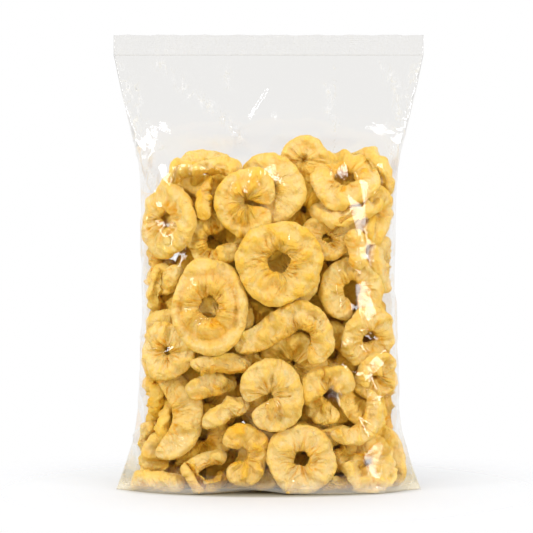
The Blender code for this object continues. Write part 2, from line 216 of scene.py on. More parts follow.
# The hidden rest of the heap: layers of whole rings behind these, thrown by a seeded rule.
# Each layer has its place front to back, the pitch of its rings and the range of their holes.
HIDDEN_LAYERS = ((-3, 43, (3, 7)), (11, 52, (3, 7)), (25, 44, (7, 12)))
HIDDEN_ROWS = (24, 64, 104, 144, 182)
HIDDEN_COLUMNS = (-2, -1, 0, 1, 2)
HIDDEN_MOST_ACROSS = 70
HIDDEN_STRAY = (3, 4)
HIDDEN_OUTER = (40, 52)
HIDDEN_TURN = 12
HIDDEN_SIDE_TURN = 0.3
HIDDEN_TILT = 14
HIDDEN_OVAL = (0.92, 1.1)
HIDDEN_WARP = (1.5, 3.5)
HIDDEN_ROUGH = (0.8, 1.5)
HIDDEN_TINT = (0.1, 0.8)
HIDDEN_THICK = (7.5, 9)
SEED = 7

# Each ring is a sheet of small balls, columns along its band by loops across it from hole to rim.
COLUMNS = 16
LOOPS = np.array((0.15, 0.5, 0.85))
# The line along a ring's band is made in fine steps, and a straightened end curls back by this share.
LINE_STEPS = 400
TAIL_CURL = -0.15
# The waves round a ring that is bent like a crisp, with the share of each, and how much it is dished.
WARP_WAVES = ((2, 1), (3, 0.55), (4, 0.3))
DISH_SHARE = 0.8
# A ring is set back from the film by this share of how far its foremost point stands out.
FOREMOST_SHARE = 0.8

# How the rings settle, in millimetres and shares. They start thin and grow to their full thickness.
SETTLE_STEPS = 260
GROWN_BY_STEP = 0.6 * SETTLE_STEPS
START_THICKNESS = 0.3
NEIGHBOUR_EVERY = 8
NEIGHBOUR_SKIN = 2.5
PUSH_ROUNDS = 2
SINK_PER_STEP = 0.08
STIFFNESS = 0.4
EVENING_ROUNDS = 3
# How firmly the rings of each group are held where they are wanted, and that pull along each axis.
FRONT_HOLD = 0.10
SECOND_HOLD = 0.06
BACK_HOLD = 0.015
HOLD_PULL = np.array((1.0, 0.35, 1.0))
# The nearer a ring lies to the film, the less it gives way to the others.
YIELD_AT_FILM = 0.12
YIELD_PER_DEPTH = 0.07
# How far the balls keep from the film and the floor. Below zero they may press past it.
FILM_GAP = 0.6
SIDE_GAP = -0.5
FLOOR_GAP = -2.6
LEAST_DEPTH = 0.5


def centre_line(ring):
    """Points and outward directions along a ring's band, at even steps, in its own plane.

    A closed ring goes once round; an open one runs from one end to the other.
    """
    mean_radius = (ring.outer + ring.hole) / 4
    if ring.arc >= 360:
        angle = np.arange(COLUMNS) * math.tau / COLUMNS
        points = mean_radius * np.stack([np.cos(angle), np.sin(angle)], 1)
        return points, np.stack([np.cos(angle), np.sin(angle)], 1)
    bow = math.radians(ring.arc) * mean_radius
    total = bow + ring.tail
    along = (np.arange(LINE_STEPS) + 0.5) * total / LINE_STEPS
    curl = np.where(along < bow, 1.0, TAIL_CURL) / mean_radius
    start = math.radians(ring.open_at + (360 - ring.arc) / 2)
    heading = start + math.pi / 2 + np.concatenate([[0], np.cumsum(curl * total / LINE_STEPS)])
    steps = np.stack([np.cos(heading[:-1]), np.sin(heading[:-1])], 1) * total / LINE_STEPS
    first = mean_radius * np.array([math.cos(start), math.sin(start)])
    path = first + np.concatenate([[[0, 0]], np.cumsum(steps, 0)])
    at = np.linspace(0, LINE_STEPS, COLUMNS)
    marks = np.arange(LINE_STEPS + 1)
    points = np.stack([np.interp(at, marks, path[:, i]) for i in (0, 1)], 1)
    out = np.interp(at, marks, heading) - math.pi / 2
    return points, np.stack([np.cos(out), np.sin(out)], 1)


def rest_sheet(ring, draw):
    """The middle sheet of a ring at rest: COLUMNS by loops points, (x, y, z) with y its warp."""
    points, outward = centre_line(ring)
    half_band = (ring.outer - ring.hole) / 4
    across = (LOOPS - 0.5) * 2 * half_band
    flat = points[:, None, :] + outward[:, None, :] * across[None, :, None]
    flat[:, :, 1] *= ring.oval
    reach = np.hypot(flat[..., 0], flat[..., 1]) / (ring.outer / 2)
    angle = np.arctan2(flat[..., 1], flat[..., 0])
    bend = np.zeros_like(reach)
    for waves, share in WARP_WAVES:
        bend += share * draw.uniform(0.5, 1.0) * np.cos(waves * angle + draw.uniform(0, math.tau))
    lift = ring.warp * bend * reach**2 + DISH_SHARE * draw.uniform(-1, 1) * ring.warp * reach
    return np.stack([flat[..., 0], lift, flat[..., 1]], -1)


def turn_matrix(turn, tilt, roll):
    """Spins a ring in its plane, leans its top back, then turns it to face sideways."""
    a, b, c = (math.radians(v) for v in (roll, -tilt, turn))
    spin = np.array([[math.cos(a), 0, math.sin(a)], [0, 1, 0], [-math.sin(a), 0, math.cos(a)]])
    lean = np.array([[1, 0, 0], [0, math.cos(b), -math.sin(b)], [0, math.sin(b), math.cos(b)]])
    face = np.array([[math.cos(c), -math.sin(c), 0], [math.sin(c), math.cos(c), 0], [0, 0, 1]])
    return face @ lean @ spin


def hidden_rings(draw):
    """The place from front to back of every hidden ring, and the ring."""
    rings = []
    for layer, (y, pitch, holes) in enumerate(HIDDEN_LAYERS):
        for row, z in enumerate(HIDDEN_ROWS):
            shift = 0 if (row + layer) % 2 else pitch / 2
            for column in HIDDEN_COLUMNS:
                x = column * pitch + shift + draw.uniform(-HIDDEN_STRAY[0], HIDDEN_STRAY[0])
                if abs(x) > HIDDEN_MOST_ACROSS:
                    continue
                rings.append((y, Ring(
                    x,
                    z + draw.uniform(-HIDDEN_STRAY[1], HIDDEN_STRAY[1]),
                    0,
                    draw.uniform(*HIDDEN_OUTER),
                    draw.uniform(*holes),
                    turn=draw.normal(0, HIDDEN_TURN) + x * (HIDDEN_SIDE_TURN if y < 0 else -HIDDEN_SIDE_TURN),
                    tilt=draw.normal(0, HIDDEN_TILT),
                    roll=draw.uniform(0, 360),
                    oval=draw.uniform(*HIDDEN_OVAL),
                    warp=draw.uniform(*HIDDEN_WARP),
                    rough=draw.uniform(*HIDDEN_ROUGH),
                    tint=draw.uniform(*HIDDEN_TINT),
                    thick=draw.uniform(*HIDDEN_THICK),
                )))
    return rings


# A ring with its sheet at rest, the sheet where it is wanted in the bag, and how firmly it is held there.
Placed = namedtuple("Placed", "ring rest wanted hold")


def place_rings():
    """All the rings where they are wanted: those at the front, those behind them, and the hidden ones."""
    draw = np.random.default_rng(SEED)
    placed = []

    def place(ring, hold, y=None):
        rest = rest_sheet(ring, draw)
        turned = rest @ turn_matrix(ring.turn, ring.tilt, ring.roll).T
        if y is None:
            film = film_depth(ring.x * MM, ring.z * MM) / MM
            y = -film + FILM_GAP + ring.depth + ring.thick / 2 - turned[..., 1].min() * FOREMOST_SHARE
        placed.append(Placed(ring, rest, turned + (ring.x, y, ring.z), hold))

    for ring in FRONT.values():
        place(ring, FRONT_HOLD)
    for ring in SECOND.values():
        place(ring, SECOND_HOLD)
    for y, ring in hidden_rings(draw):
        place(ring, BACK_HOLD, y)
    return placed


def close_pairs(balls, radius):
    """Pairs of balls of different rings that are near enough to touch soon."""
    centre = balls.mean(1)
    reach = np.linalg.norm(balls - centre[:, None], axis=2).max(1) + radius
    gap = np.linalg.norm(centre[:, None] - centre[None], axis=2) - reach[:, None] - reach[None]
    first, second = np.nonzero(np.triu(gap < NEIGHBOUR_SKIN, 1))
    between = np.linalg.norm(balls[first][:, :, None] - balls[second][:, None], axis=3)
    limit = (radius[first] + radius[second] + NEIGHBOUR_SKIN)[:, None, None]
    pair, a, b = np.nonzero(between < limit)
    count = balls.shape[1]
    return first[pair] * count + a, second[pair] * count + b


def settle(placed):
    """Lets the rings push each other apart inside the film. Gives their sheets in the bag."""
    rest = np.stack([p.rest.reshape(-1, 3) for p in placed])
    wanted = np.stack([p.wanted.reshape(-1, 3) for p in placed])
    hold = np.array([p.hold for p in placed])[:, None, None]
    full = np.array([p.ring.thick / 2 for p in placed])
    closed = np.array([p.ring.arc >= 360 for p in placed])
    yields = np.array([min(1.0, YIELD_AT_FILM + YIELD_PER_DEPTH * p.ring.depth) for p in placed])
    yields[hold[:, 0, 0] == BACK_HOLD] = 1.0
    rest = rest - rest.mean(1, keepdims=True)
    balls = wanted.copy()
    count = balls.shape[1]
    yields = np.repeat(yields, count)
    for step in range(SETTLE_STEPS):
        grown = min(1.0, START_THICKNESS + (1 - START_THICKNESS) * step / GROWN_BY_STEP)
        radius = full * grown
        if step % NEIGHBOUR_EVERY == 0:
            first, second = close_pairs(balls, full)
        flat = balls.reshape(-1, 3)
        sizes = np.repeat(radius, count)
        for _ in range(PUSH_ROUNDS):
            away = flat[first] - flat[second]
            far = np.linalg.norm(away, axis=1) + 1e-9
            push = np.maximum(0, sizes[first] + sizes[second] - far) / far * 0.5
            given = yields[first] / (yields[first] + yields[second])
            move = away * push[:, None]
            for axis in range(3):
                flat[:, axis] += np.bincount(first, move[:, axis] * given, len(flat))
                flat[:, axis] -= np.bincount(second, move[:, axis] * (1 - given), len(flat))
            keep_inside(flat, sizes)
        balls = flat.reshape(-1, count, 3)
        balls[..., 2] -= SINK_PER_STEP * (hold[..., 0] < FRONT_HOLD / 2)
        balls += hold * (wanted - balls) * HOLD_PULL
        shape = held_shape(balls, rest)
        balls += STIFFNESS * (shape - balls)
    shape = held_shape(balls, rest)
    sheets = evened(balls - shape, closed) + shape
    keep_inside(sheets.reshape(-1, 3), sizes)
    return sheets.reshape(len(placed), COLUMNS, len(LOOPS), 3)


def held_shape(balls, rest):
    """Each ring's rest shape, turned and moved to lie nearest to its balls."""
    middle = balls.mean(1, keepdims=True)
    spread = np.einsum("nki,nkj->nij", balls - middle, rest)
    u, _, vt = np.linalg.svd(spread)
    u[:, :, 2] *= np.sign(np.linalg.det(u @ vt))[:, None]
    return np.einsum("nij,nkj->nki", u @ vt, rest) + middle


def evened(bent, closed):
    """The bending of each sheet without its short dents, so that rims stay round."""
    grid = bent.reshape(len(bent), COLUMNS, len(LOOPS), 3)
    for _ in range(EVENING_ROUNDS):
        before, after = np.roll(grid, 1, 1), np.roll(grid, -1, 1)
        before[~closed, 0] = grid[~closed, 0]
        after[~closed, -1] = grid[~closed, -1]
        grid = grid / 2 + (before + after) / 4
    return grid.reshape(bent.shape)


def keep_inside(points, sizes):
    """Moves points, in millimetres, back inside the film by their own radius."""
    half_width, half_depth, face, side = film_section(points[:, 2] * MM)
    width = half_width / MM - sizes - SIDE_GAP
    depth = np.maximum(half_depth / MM - sizes - FILM_GAP, LEAST_DEPTH)
    out = np.abs(points[:, 0] / width) ** face + np.abs(points[:, 1] / depth) ** side
    back = np.where(out > 1, out ** (-2 / (face + side)), 1.0)
    points[:, 0] *= back
    points[:, 1] *= back
    np.maximum(points[:, 2], sizes + FLOOR_GAP, out=points[:, 2])


# The surface of a ring: steps round it and round its section, for each group. A ring at the front that
# keeps less of its circle than SHORT_ARC has the short steps.
FINE_STEPS = (172, 38)
SHORT_STEPS = (96, 36)
SHORT_ARC = 150
MIDDLE_STEPS = (112, 28)
COARSE_STEPS = (66, 18)
# In millimetres: the lowest point of any ring, and how deep behind the film the painted shade begins to
# deepen the colour and has done so fully.
LEAST_HEIGHT = 0.7
SHADE_DEPTH_FROM = 8.0
SHADE_DEPTH_TO = 26.0
# Shares of a ring's band: the least width at an open end, and how far the colour of the core reaches.
LEAST_END = 0.02
CORE_REACH = 0.24
# How large the rings are in the space in which their creases and their grain are drawn: round them,
# across their band and, for the grain, from face to face.
RADIAL_SPREAD = 0.36
RADIAL_STRETCH = 0.5
GRAIN_RADIUS = 7.0
GRAIN_ACROSS = 0.12
GRAIN_THROUGH = 1.5

# Kinds of uneven surface: how high in mm, the sizes of their features in mm, from and to, and how many
# waves make them.
RIM_LOBES = (0.7, (20, 44), 5)
RIM_CRINKLES = (0.16, (5, 10), 6)
RIM_NOTCHES = (1, (9, 16), 6)
HOLE_LOBES = (0.35, (12, 24), 5)
HOLE_CRINKLES = (0.12, (5, 9), 6)
COARSE_CREASES = (1, (9, 17), 7)
FINE_CREASES = (1, (4, 7.5), 9)
BROAD_FOLDS = (1, (14, 28), 6)
PATCHES = (0.5, (14, 34), 4)
SWELLS = (0.85, (8, 15), 8)
SMALL_SWELLS = (0.34, (4, 7), 10)
LUMPS = (0.5, (14, 26), 6)
GRAIN_BENDS = (0.13, (13, 26), 4)

# The outline of a ring, in millimetres: its notches, a hole that is less uneven the smaller it is, and
# the unevenness that fades out at the ends of an open ring.
NOTCH_DEPTH = 0.22
NOTCH_WIDTH = 0.2
HOLE_SCALE = 0.6
HOLE_WITH_LOBES = 8
LEAST_LOBES = 0.3
END_FADE = 0.3
TAPER_POWER = 2.2
# How round a ring's section is at its sides and on its faces, and how much more when it is puffy.
SIDE_ROUNDNESS = (0.75, 0.2)
FACE_ROUNDNESS = (0.72, 0.25)

# Creases: how wide they are, how strong they are anywhere, more where the fruit is gathered round its
# hole and more at its rim, how deep they go in mm, and how much they darken the colour: partly the fruit's
# own fold colour and partly painted shade in the folds.
Crease = namedtuple("Crease", "width anywhere gathered at_rim depth mark")
DEEP_CREASE = Crease(0.23, 0.16, 1, 0.2, 1.05, 1)
SLIGHT_CREASE = Crease(0.33, 0.12, 0.75, 0.12, 0.9, 0.9)
FOLD_WIDTH = 0.16
FOLD_SHARE = 0.45
FOLD_GAIN = 1.1
FOLD_GAIN_FROM = 0.8
FOLD_MARK = 0.7
# Where they gather, as shares of the band from hole to rim, and in millimetres from the middle.
NEAR_HOLE = (0.1, 0.75)
NEAR_RIM = (0.7, 1.0)
BESIDE_HOLE = (0.0, 0.25)
BESIDE_HOLE_SHARE = 0.45
BESIDE_MIDDLE = (1, 8)
# Swells in millimetres: coarse ones where the fruit is gathered, and fine ones with their height, and
# the share of it anywhere and how much more where it is gathered. Roughness counts up to MOST_ROUGH
# for the small ones, and the rougher a ring, the less its folds mark the colour.
GATHERED_SWELL = 1.1
FINE_SWELL = (0.22, 0.4, 1.3)
MOST_ROUGH = 1.2
FADED_BY_ROUGH = 1.2

# Forms across the band, each with its middle and its width as shares of the band from hole to rim.
HOLLOW = (0.5, 0.28)
HOLLOW_DEPTH = 0.6
COLLAR_CREST = (0.3, 0.13)
COLLAR_FOOT = (0.6, 0.1)
COLLAR_FOOT_SHARE = 0.9
# The collar's groove is marked with painted shade.
COLLAR_LINE = (0.58, 0.09)
COLLAR_LINE_MARK = 0.45
# A cleft, in millimetres: its width, the raised lip beside it, its mark, which is painted shade in the fold,
# and its notch in the rim.
CLEFT_WIDTH = 1.3
CLEFT_LIP = 0.6
CLEFT_LIP_REACH = 7
CLEFT_MARK_WIDTH = 1.5
CLEFT_LEAST_RADIUS = 3
CLEFT_NOTCH = 1.1
CLEFT_NOTCH_WIDTH = 5

# Painted shade in hollows and on sides facing down, and the rim's own deeper tone with painted shade,
# turn the colour a deeper gold: the span over which each cause sets in, and how far it goes.
SHADE_IN_HOLLOWS = (-0.5, 1.3)
RIM_TONE_AND_SHADE_SPAN = (0.78, 1.0)
SHADE_BELOW_SPAN = (0.1, 0.9)
HOLLOW_SHADE = 0.5
RIM_TONE_AND_SHADE = 0.6
BELOW_SHADE = 0.7
PALER_TINT = 0.35


# How the four columns round a place count towards it, by powers 0 to 3, for a smooth curve through them.
SPLINE = np.array(((0, -0.5, 1, -0.5), (1, 0, -2.5, 1.5), (0, 0.5, 2, -1.5), (0, 0, -0.5, 0.5)))


def spline_weights(at, closed):
    """How much each column counts at these places along a ring, and the slope of that."""
    weights = np.zeros((len(at), COLUMNS))
    slopes = np.zeros((len(at), COLUMNS))
    spans = COLUMNS if closed else COLUMNS - 1
    place = at * spans
    cell = np.minimum(np.floor(place).astype(int), spans - 1)
    powers = (place - cell)[:, None] ** np.arange(4)
    rows = np.arange(len(at))
    for offset, cubic in enumerate(SPLINE, -1):
        column = cell + offset
        column = column % COLUMNS if closed else np.clip(column, 0, COLUMNS - 1)
        np.add.at(weights, (rows, column), powers @ cubic)
        np.add.at(slopes, (rows, column), powers[:, :3] @ (cubic[1:] * (1, 2, 3)))
    return weights, slopes


def across_weights(u):
    """Values and slopes at u, 0 at the hole and 1 at the rim, of the curve through the loops."""
    a, b, c = LOOPS
    values = (
        (u - b) * (u - c) / ((a - b) * (a - c)),
        (u - a) * (u - c) / ((b - a) * (b - c)),
        (u - a) * (u - b) / ((c - a) * (c - b)),
    )
    slopes = (
        (2 * u - b - c) / ((a - b) * (a - c)),
        (2 * u - a - c) / ((b - a) * (b - c)),
        (2 * u - a - b) / ((c - a) * (c - b)),
    )
    return np.stack(values, -1), np.stack(slopes, -1)


def smooth_step(value, low, high):
    share = np.clip((value - low) / (high - low), 0, 1)
    return share * share * (3 - 2 * share)


def wave_noise(draw, points, kind, strength=1.0):
    """Smooth noise of one kind over points of two or three axes, times this strength."""
    height, sizes, count = kind
    total = np.zeros(points.shape[:-1])
    for _ in range(count):
        way = draw.normal(0, 1, points.shape[-1])
        pace = math.tau / draw.uniform(*sizes)
        along = points @ (way / np.linalg.norm(way))
        total += np.sin(along * pace + draw.uniform(0, math.tau))
    return height * strength * (total * math.sqrt(2 / count))


def bell(value, middle, width):
    """1 where the value is at the middle, and less the further off it is, over this width.

    Of smooth noise and a middle of 0 it makes narrow valleys, along the lines where the noise crosses 0.
    """
    return np.exp(-(((value - middle) / width) ** 2))


def creases(draw, ring, radial, plane, u, radius):
    """Soft folds of one face: its relief in mm, and how marked the folds are, a darker colour that is partly
    the fruit's own and partly painted shade.
    """
    coarse = wave_noise(draw, radial, COARSE_CREASES)
    fine = wave_noise(draw, radial, FINE_CREASES)
    broad = wave_noise(draw, plane, BROAD_FOLDS)
    near_hole = 1 - smooth_step(u, *NEAR_HOLE)
    near_rim = smooth_step(u, *NEAR_RIM)
    patchy = np.clip(0.5 + wave_noise(draw, plane, PATCHES), 0, 1)
    beside_hole = BESIDE_HOLE_SHARE + (1 - BESIDE_HOLE_SHARE) * smooth_step(u, *BESIDE_HOLE)
    gathered = near_hole * ring.pucker * beside_hole * smooth_step(radius, *BESIDE_MIDDLE)

    def creased(kind, noise):
        strength = kind.anywhere + kind.gathered * gathered + kind.at_rim * near_rim
        return bell(noise, 0, kind.width) * strength

    deep = creased(DEEP_CREASE, coarse) * ring.rough ** 0.5
    slight = creased(SLIGHT_CREASE, fine) * patchy * ring.rough
    folds = FOLD_SHARE + max(0.0, ring.rough - FOLD_GAIN_FROM) * FOLD_GAIN
    folded = bell(broad, 0, FOLD_WIDTH) * folds * patchy
    relief = wave_noise(draw, plane, SWELLS, ring.rough) + GATHERED_SWELL * coarse * gathered
    relief = relief + wave_noise(draw, plane, SMALL_SWELLS, min(ring.rough, MOST_ROUGH))
    height, anywhere, more = FINE_SWELL
    relief += height * fine * (anywhere + more * gathered)
    relief -= DEEP_CREASE.depth * deep + SLIGHT_CREASE.depth * slight + folded
    mark = DEEP_CREASE.mark * deep + SLIGHT_CREASE.mark * slight + FOLD_MARK * folded
    return relief, np.clip(mark / max(1.0, FADED_BY_ROUGH * ring.rough), 0, 1)


def hollow_shade_share(relief):
    """Painted shade in hollows: how far the colour goes towards a deeper gold at this relief in mm."""
    return smooth_step(-relief, *SHADE_IN_HOLLOWS)


def ring_outline(ring, turn, at, draw):
    """How far the rim and the mouth of the hole stray, in mm: uneven lobes, small notches and crinkles."""
    circle = np.stack([np.cos(turn), np.sin(turn)], -1) * ring.outer / 2
    rim = wave_noise(draw, circle, RIM_LOBES, ring.rough)
    rim += wave_noise(draw, circle, RIM_CRINKLES, ring.rough)
    rim -= NOTCH_DEPTH * ring.rough ** 0.5 * bell(wave_noise(draw, circle, RIM_NOTCHES), 0, NOTCH_WIDTH)
    small = circle * HOLE_SCALE
    mouth = wave_noise(draw, small, HOLE_LOBES) + wave_noise(draw, small, HOLE_CRINKLES)
    mouth *= min(1.0, ring.hole / HOLE_WITH_LOBES + LEAST_LOBES)
    if ring.arc < 360:
        rim *= np.sin(np.pi * at) ** END_FADE
        mouth *= np.sin(np.pi * at) ** END_FADE
    return rim, mouth


def end_shares(ring, at, band):
    """How much of its width a ring keeps: an open one has rounded ends, and may narrow towards them."""
    if ring.arc >= 360:
        return np.ones(len(at))
    length = math.radians(ring.arc) * (ring.outer + ring.hole) / 4 + ring.tail
    near = np.minimum(at, 1 - at) * length
    ends = np.sqrt(np.clip(1 - (1 - np.clip(near / (band * 0.5), 0, 1)) ** 2, 0, 1))
    return np.maximum(ends, LEAST_END) * (1 - ring.taper * np.abs(2 * at - 1) ** TAPER_POWER)


def sheet_skin(sheet, at, u, closed):
    """Points of a settled sheet, at these places along and across it, and the way it faces there."""
    weights, slopes = spline_weights(at, closed)
    values, ramps = across_weights(u)
    columns = np.einsum("ac,cld->ald", weights, sheet)
    column_slopes = np.einsum("ac,cld->ald", slopes, sheet)
    point = np.einsum("akl,ald->akd", values, columns)
    along = np.einsum("akl,ald->akd", values, column_slopes)
    across = np.einsum("akl,ald->akd", ramps, columns)
    normal = np.cross(along, across)
    normal /= np.linalg.norm(normal, axis=2, keepdims=True) + 1e-9
    return point, normal


def face_relief(draw, ring, radial, plane, u, radius, from_cleft):
    """The relief of one face in mm, and how marked it is: creases, hollow, collar and cleft. The mark is
    partly fold colour and partly painted shade in the folds, the collar's groove and the cleft.
    """
    relief, mark = creases(draw, ring, radial, plane, u, radius)
    hollow = -HOLLOW_DEPTH * (1 - ring.puff) * bell(u, *HOLLOW)
    collar = ring.collar * (bell(u, *COLLAR_CREST) - COLLAR_FOOT_SHARE * bell(u, *COLLAR_FOOT))
    relief = relief + hollow + collar
    if ring.cleft:
        # A deep fold right across the band, with one lip over the other.
        reach = from_cleft[:, None] * np.maximum(radius, CLEFT_LEAST_RADIUS)
        relief = relief - ring.cleft * np.exp(-np.abs(reach) / CLEFT_WIDTH)
        relief = relief + CLEFT_LIP * ring.cleft * np.where(reach > 0, np.exp(-reach / CLEFT_LIP_REACH), 0)
        # The cleft is marked with painted shade along its fold.
        mark = np.clip(mark + np.exp(-np.abs(reach) / CLEFT_MARK_WIDTH), 0, 1)
    # The collar's groove is marked with painted shade.
    if ring.collar:
        mark = np.clip(mark + COLLAR_LINE_MARK * bell(u, *COLLAR_LINE), 0, 1)
    return relief, mark


def colour_marks(ring, point, u, relief, marks):
    """What drives the colour of each spot: how near the hole, how creased, how much rim tone and painted
    shade, and its tint.
    """
    # Painted shade: deep behind the film, in hollows and on sides facing down, the colour is painted a deeper
    # gold, standing in for shade and for light that has passed through fruit.
    film = film_depth(point[..., 0] * MM, point[..., 2] * MM) / MM
    deep_shade = smooth_step(film - np.abs(point[..., 1]), SHADE_DEPTH_FROM, SHADE_DEPTH_TO)
    core = np.exp(-np.clip(u, 0, 1) / CORE_REACH)
    # Sides that face down are painted a deeper gold: painted shade underneath.
    facing = np.cross(np.gradient(point, axis=0), np.gradient(point, axis=1))
    outward = point - point.mean(1, keepdims=True)
    facing *= np.sign(np.sum(facing * outward, axis=2, keepdims=True))
    below = smooth_step(-facing[..., 2] / (np.linalg.norm(facing, axis=2) + 1e-9), *SHADE_BELOW_SPAN)
    hollow_shade = hollow_shade_share(relief)
    # The rim is a deeper gold, partly its own tone and partly painted shade where the band turns away from
    # the light.
    rim = smooth_step(u, *RIM_TONE_AND_SHADE_SPAN)
    # The strongest of rim tone and painted shade sets how far the colour goes towards deep gold.
    edge = np.max([rim * RIM_TONE_AND_SHADE, deep_shade, HOLLOW_SHADE * hollow_shade, BELOW_SHADE * below], axis=0)
    # Outside the painted shade of the hollows the tint is paler.
    tint = np.clip(ring.tint - PALER_TINT * (1 - hollow_shade), 0, 1)
    return np.stack([core, marks, edge, tint], -1)


def ring_surface(ring, sheet, draw, steps):
    """Vertices, quads, colour marks and grain directions of one ring's skin, around its settled sheet."""
    closed = ring.arc >= 360
    around, corners = steps
    at = np.arange(around) / around if closed else np.linspace(0, 1, around)
    section = np.arange(corners) * math.tau / corners
    c, s = np.cos(section), np.sin(section)
    out = np.sign(c) * np.abs(c) ** (SIDE_ROUNDNESS[0] + SIDE_ROUNDNESS[1] * ring.puff)
    up = np.sign(s) * np.abs(s) ** (FACE_ROUNDNESS[0] + FACE_ROUNDNESS[1] * ring.puff)
    turn = at * (math.tau if closed else math.radians(ring.arc) + ring.tail / (ring.outer / 3))
    angle = np.broadcast_to(turn[:, None], (around, corners))
    band = (ring.outer - ring.hole) / 2
    rim, mouth = ring_outline(ring, turn, at, draw)
    ends = end_shares(ring, at, band)
    from_cleft = (turn - math.radians(ring.open_at) + math.pi) % math.tau - math.pi
    rim -= CLEFT_NOTCH * ring.cleft * bell(from_cleft * ring.outer, 0, CLEFT_NOTCH_WIDTH)
    half = 0.5 + np.where(out > 0, rim[:, None], mouth[:, None]) / band
    u = 0.5 + half * out * ends[:, None]
    point, normal = sheet_skin(sheet, at, u, closed)

    # The relief of the two faces, which meet at the rim and at the hole.
    radius = ring.hole / 2 + u * band
    plane = np.stack([radius * np.cos(angle), radius * np.sin(angle)], -1)
    spread = ring.outer * RADIAL_SPREAD
    bent = angle + wave_noise(draw, plane, GRAIN_BENDS)
    radial = np.stack([spread * np.cos(bent), spread * np.sin(bent), RADIAL_STRETCH * radius], -1)
    lump = wave_noise(draw, plane, LUMPS, ring.rough)
    tall = np.zeros_like(u)
    marks = np.zeros_like(u)
    for face in (1, -1):
        mine = (up * face > 0)[None, :]
        relief, mark = face_relief(draw, ring, radial, plane, u, radius, from_cleft)
        tall = np.where(mine, face * relief, tall)
        marks = np.where(mine, mark, marks)
    thick = ring.thick / 2 * ends[:, None] * up[None, :]
    relief = tall * np.abs(up)[None, :] ** 0.5 * ends[:, None] + lump * ends[:, None]
    point = point + normal * (thick + relief)[..., None]
    point[..., 2] = np.maximum(point[..., 2], LEAST_HEIGHT)
    colour = colour_marks(ring, point, u, tall + lump, marks)
    side = draw.uniform(0, 50) + GRAIN_THROUGH * up[None, :]
    turns = GRAIN_RADIUS * ring.outer / 50
    grain = np.stack([turns * np.cos(bent), turns * np.sin(bent), GRAIN_ACROSS * radius + side], -1)
    quads = grid_quads(around, corners, closed)
    return point.reshape(-1, 3) * MM, quads, colour.reshape(-1, 4), grain.reshape(-1, 3)


def grid_quads(rows, columns, wrap_rows):
    """The faces of a grid of points that closes round its columns, and round its rows if asked."""
    i = np.arange(rows if wrap_rows else rows - 1)[:, None]
    j = np.arange(columns)[None, :]
    below, right = (i + 1) % rows, (j + 1) % columns
    corners = (i * columns + j, i * columns + right, below * columns + right, below * columns + j)
    return np.stack([np.broadcast_to(c, (len(i), columns)) for c in corners], -1).reshape(-1, 4)


def linked(name, data):
    """A new object with this mesh, lamp or camera, in the scene."""
    made = bpy.data.objects.new(name, data)
    bpy.context.scene.collection.objects.link(made)
    return made


def mesh_object(name, points, faces, colour=None, grain=None):
    """An object from arrays of points and quads, shaded smooth."""
    mesh = bpy.data.meshes.new(name)
    mesh.vertices.add(len(points))
    mesh.vertices.foreach_set("co", points.astype(np.float32).ravel())
    mesh.loops.add(faces.size)
    mesh.loops.foreach_set("vertex_index", faces.astype(np.int32).ravel())
    mesh.polygons.add(len(faces))
    mesh.polygons.foreach_set("loop_start", np.arange(0, faces.size, 4, dtype=np.int32))
    mesh.update(calc_edges=True)
    mesh.polygons.foreach_set("use_smooth", np.ones(len(faces), bool))
    if colour is not None:
        layer = mesh.attributes.new("marks", "FLOAT_COLOR", "POINT")
        layer.data.foreach_set("color", colour.astype(np.float32).ravel())
    if grain is not None:
        layer = mesh.attributes.new("grain", "FLOAT_VECTOR", "POINT")
        layer.data.foreach_set("vector", grain.astype(np.float32).ravel())
    return linked(name, mesh)


def heap_piece(name, members):
    """One joined mesh of several rings."""
    parts, start = [], 0
    for ring, sheet, seed, steps in members:
        draw = np.random.default_rng((SEED, seed))
        points, faces, colour, grain = ring_surface(ring, sheet, draw, steps)
        parts.append((points, faces + start, colour, grain))
        start += len(points)
    return mesh_object(name, *(np.concatenate(part) for part in zip(*parts)))


# The film is a grid: columns round the bag, from its +X end anticlockwise seen from above,
# and rows up it, closer together over the heap than in the empty head. Lengths are in metres.
# SECTION_STEPS is how finely a row's outline is followed to space its columns evenly.
FILM_COLUMNS = 360
HEAP_ROWS = 196
HEAD_ROWS = 64
HEAD_FOOT = 0.224
SECTION_STEPS = 2881
BASE_HEIGHT = 0.0003
# The flat ears at the lower corners: at each height, how far out their tip is.
EAR_TIP = ((0, 0.0990), (0.004, 0.0975), (0.012, 0.0945), (0.020, 0.0918), (0.031, 0.0884), (0.046, 0.0852))
EAR_ROOT_DEPTH = 0.014
EAR_FALL = 2.5
# The front edge of the foot is lifted at one place.
BASE_LIFT = 0.003
BASE_LIFT_AT = -0.013
BASE_LIFT_WIDTH = 0.022
BASE_LIFT_TOP = 0.02
# The flat foot closes in rings, at these shares of its outline.
CAP_HEIGHT = 0.0002
CAP_SHARES = (0.02, 0.3, 0.6, 0.85, 0.96)
SEAL_FADE = 0.012

# The skin drawn over the rings, as shares of the way from the middle to the filled-out film. It
# keeps FILM_CLEARANCE, in millimetres, away from them.
FILM_CLEARANCE = 0.5
SCALE_ROUNDS = 12
SPREAD_ROUNDS = 2
SPREAD_FALL = 0.002
LEAST_SPREAD = 0.2
SLACK_SHARE = 0.94
SKIN_ROUNDS = 400
SKIN_DRIFT = 0.00002
MOST_SKIN = 1.02
MOST_SHARE = 1.03
SIDE_CREASE_COLUMNS = 1
LEAST_REACH = 0.02

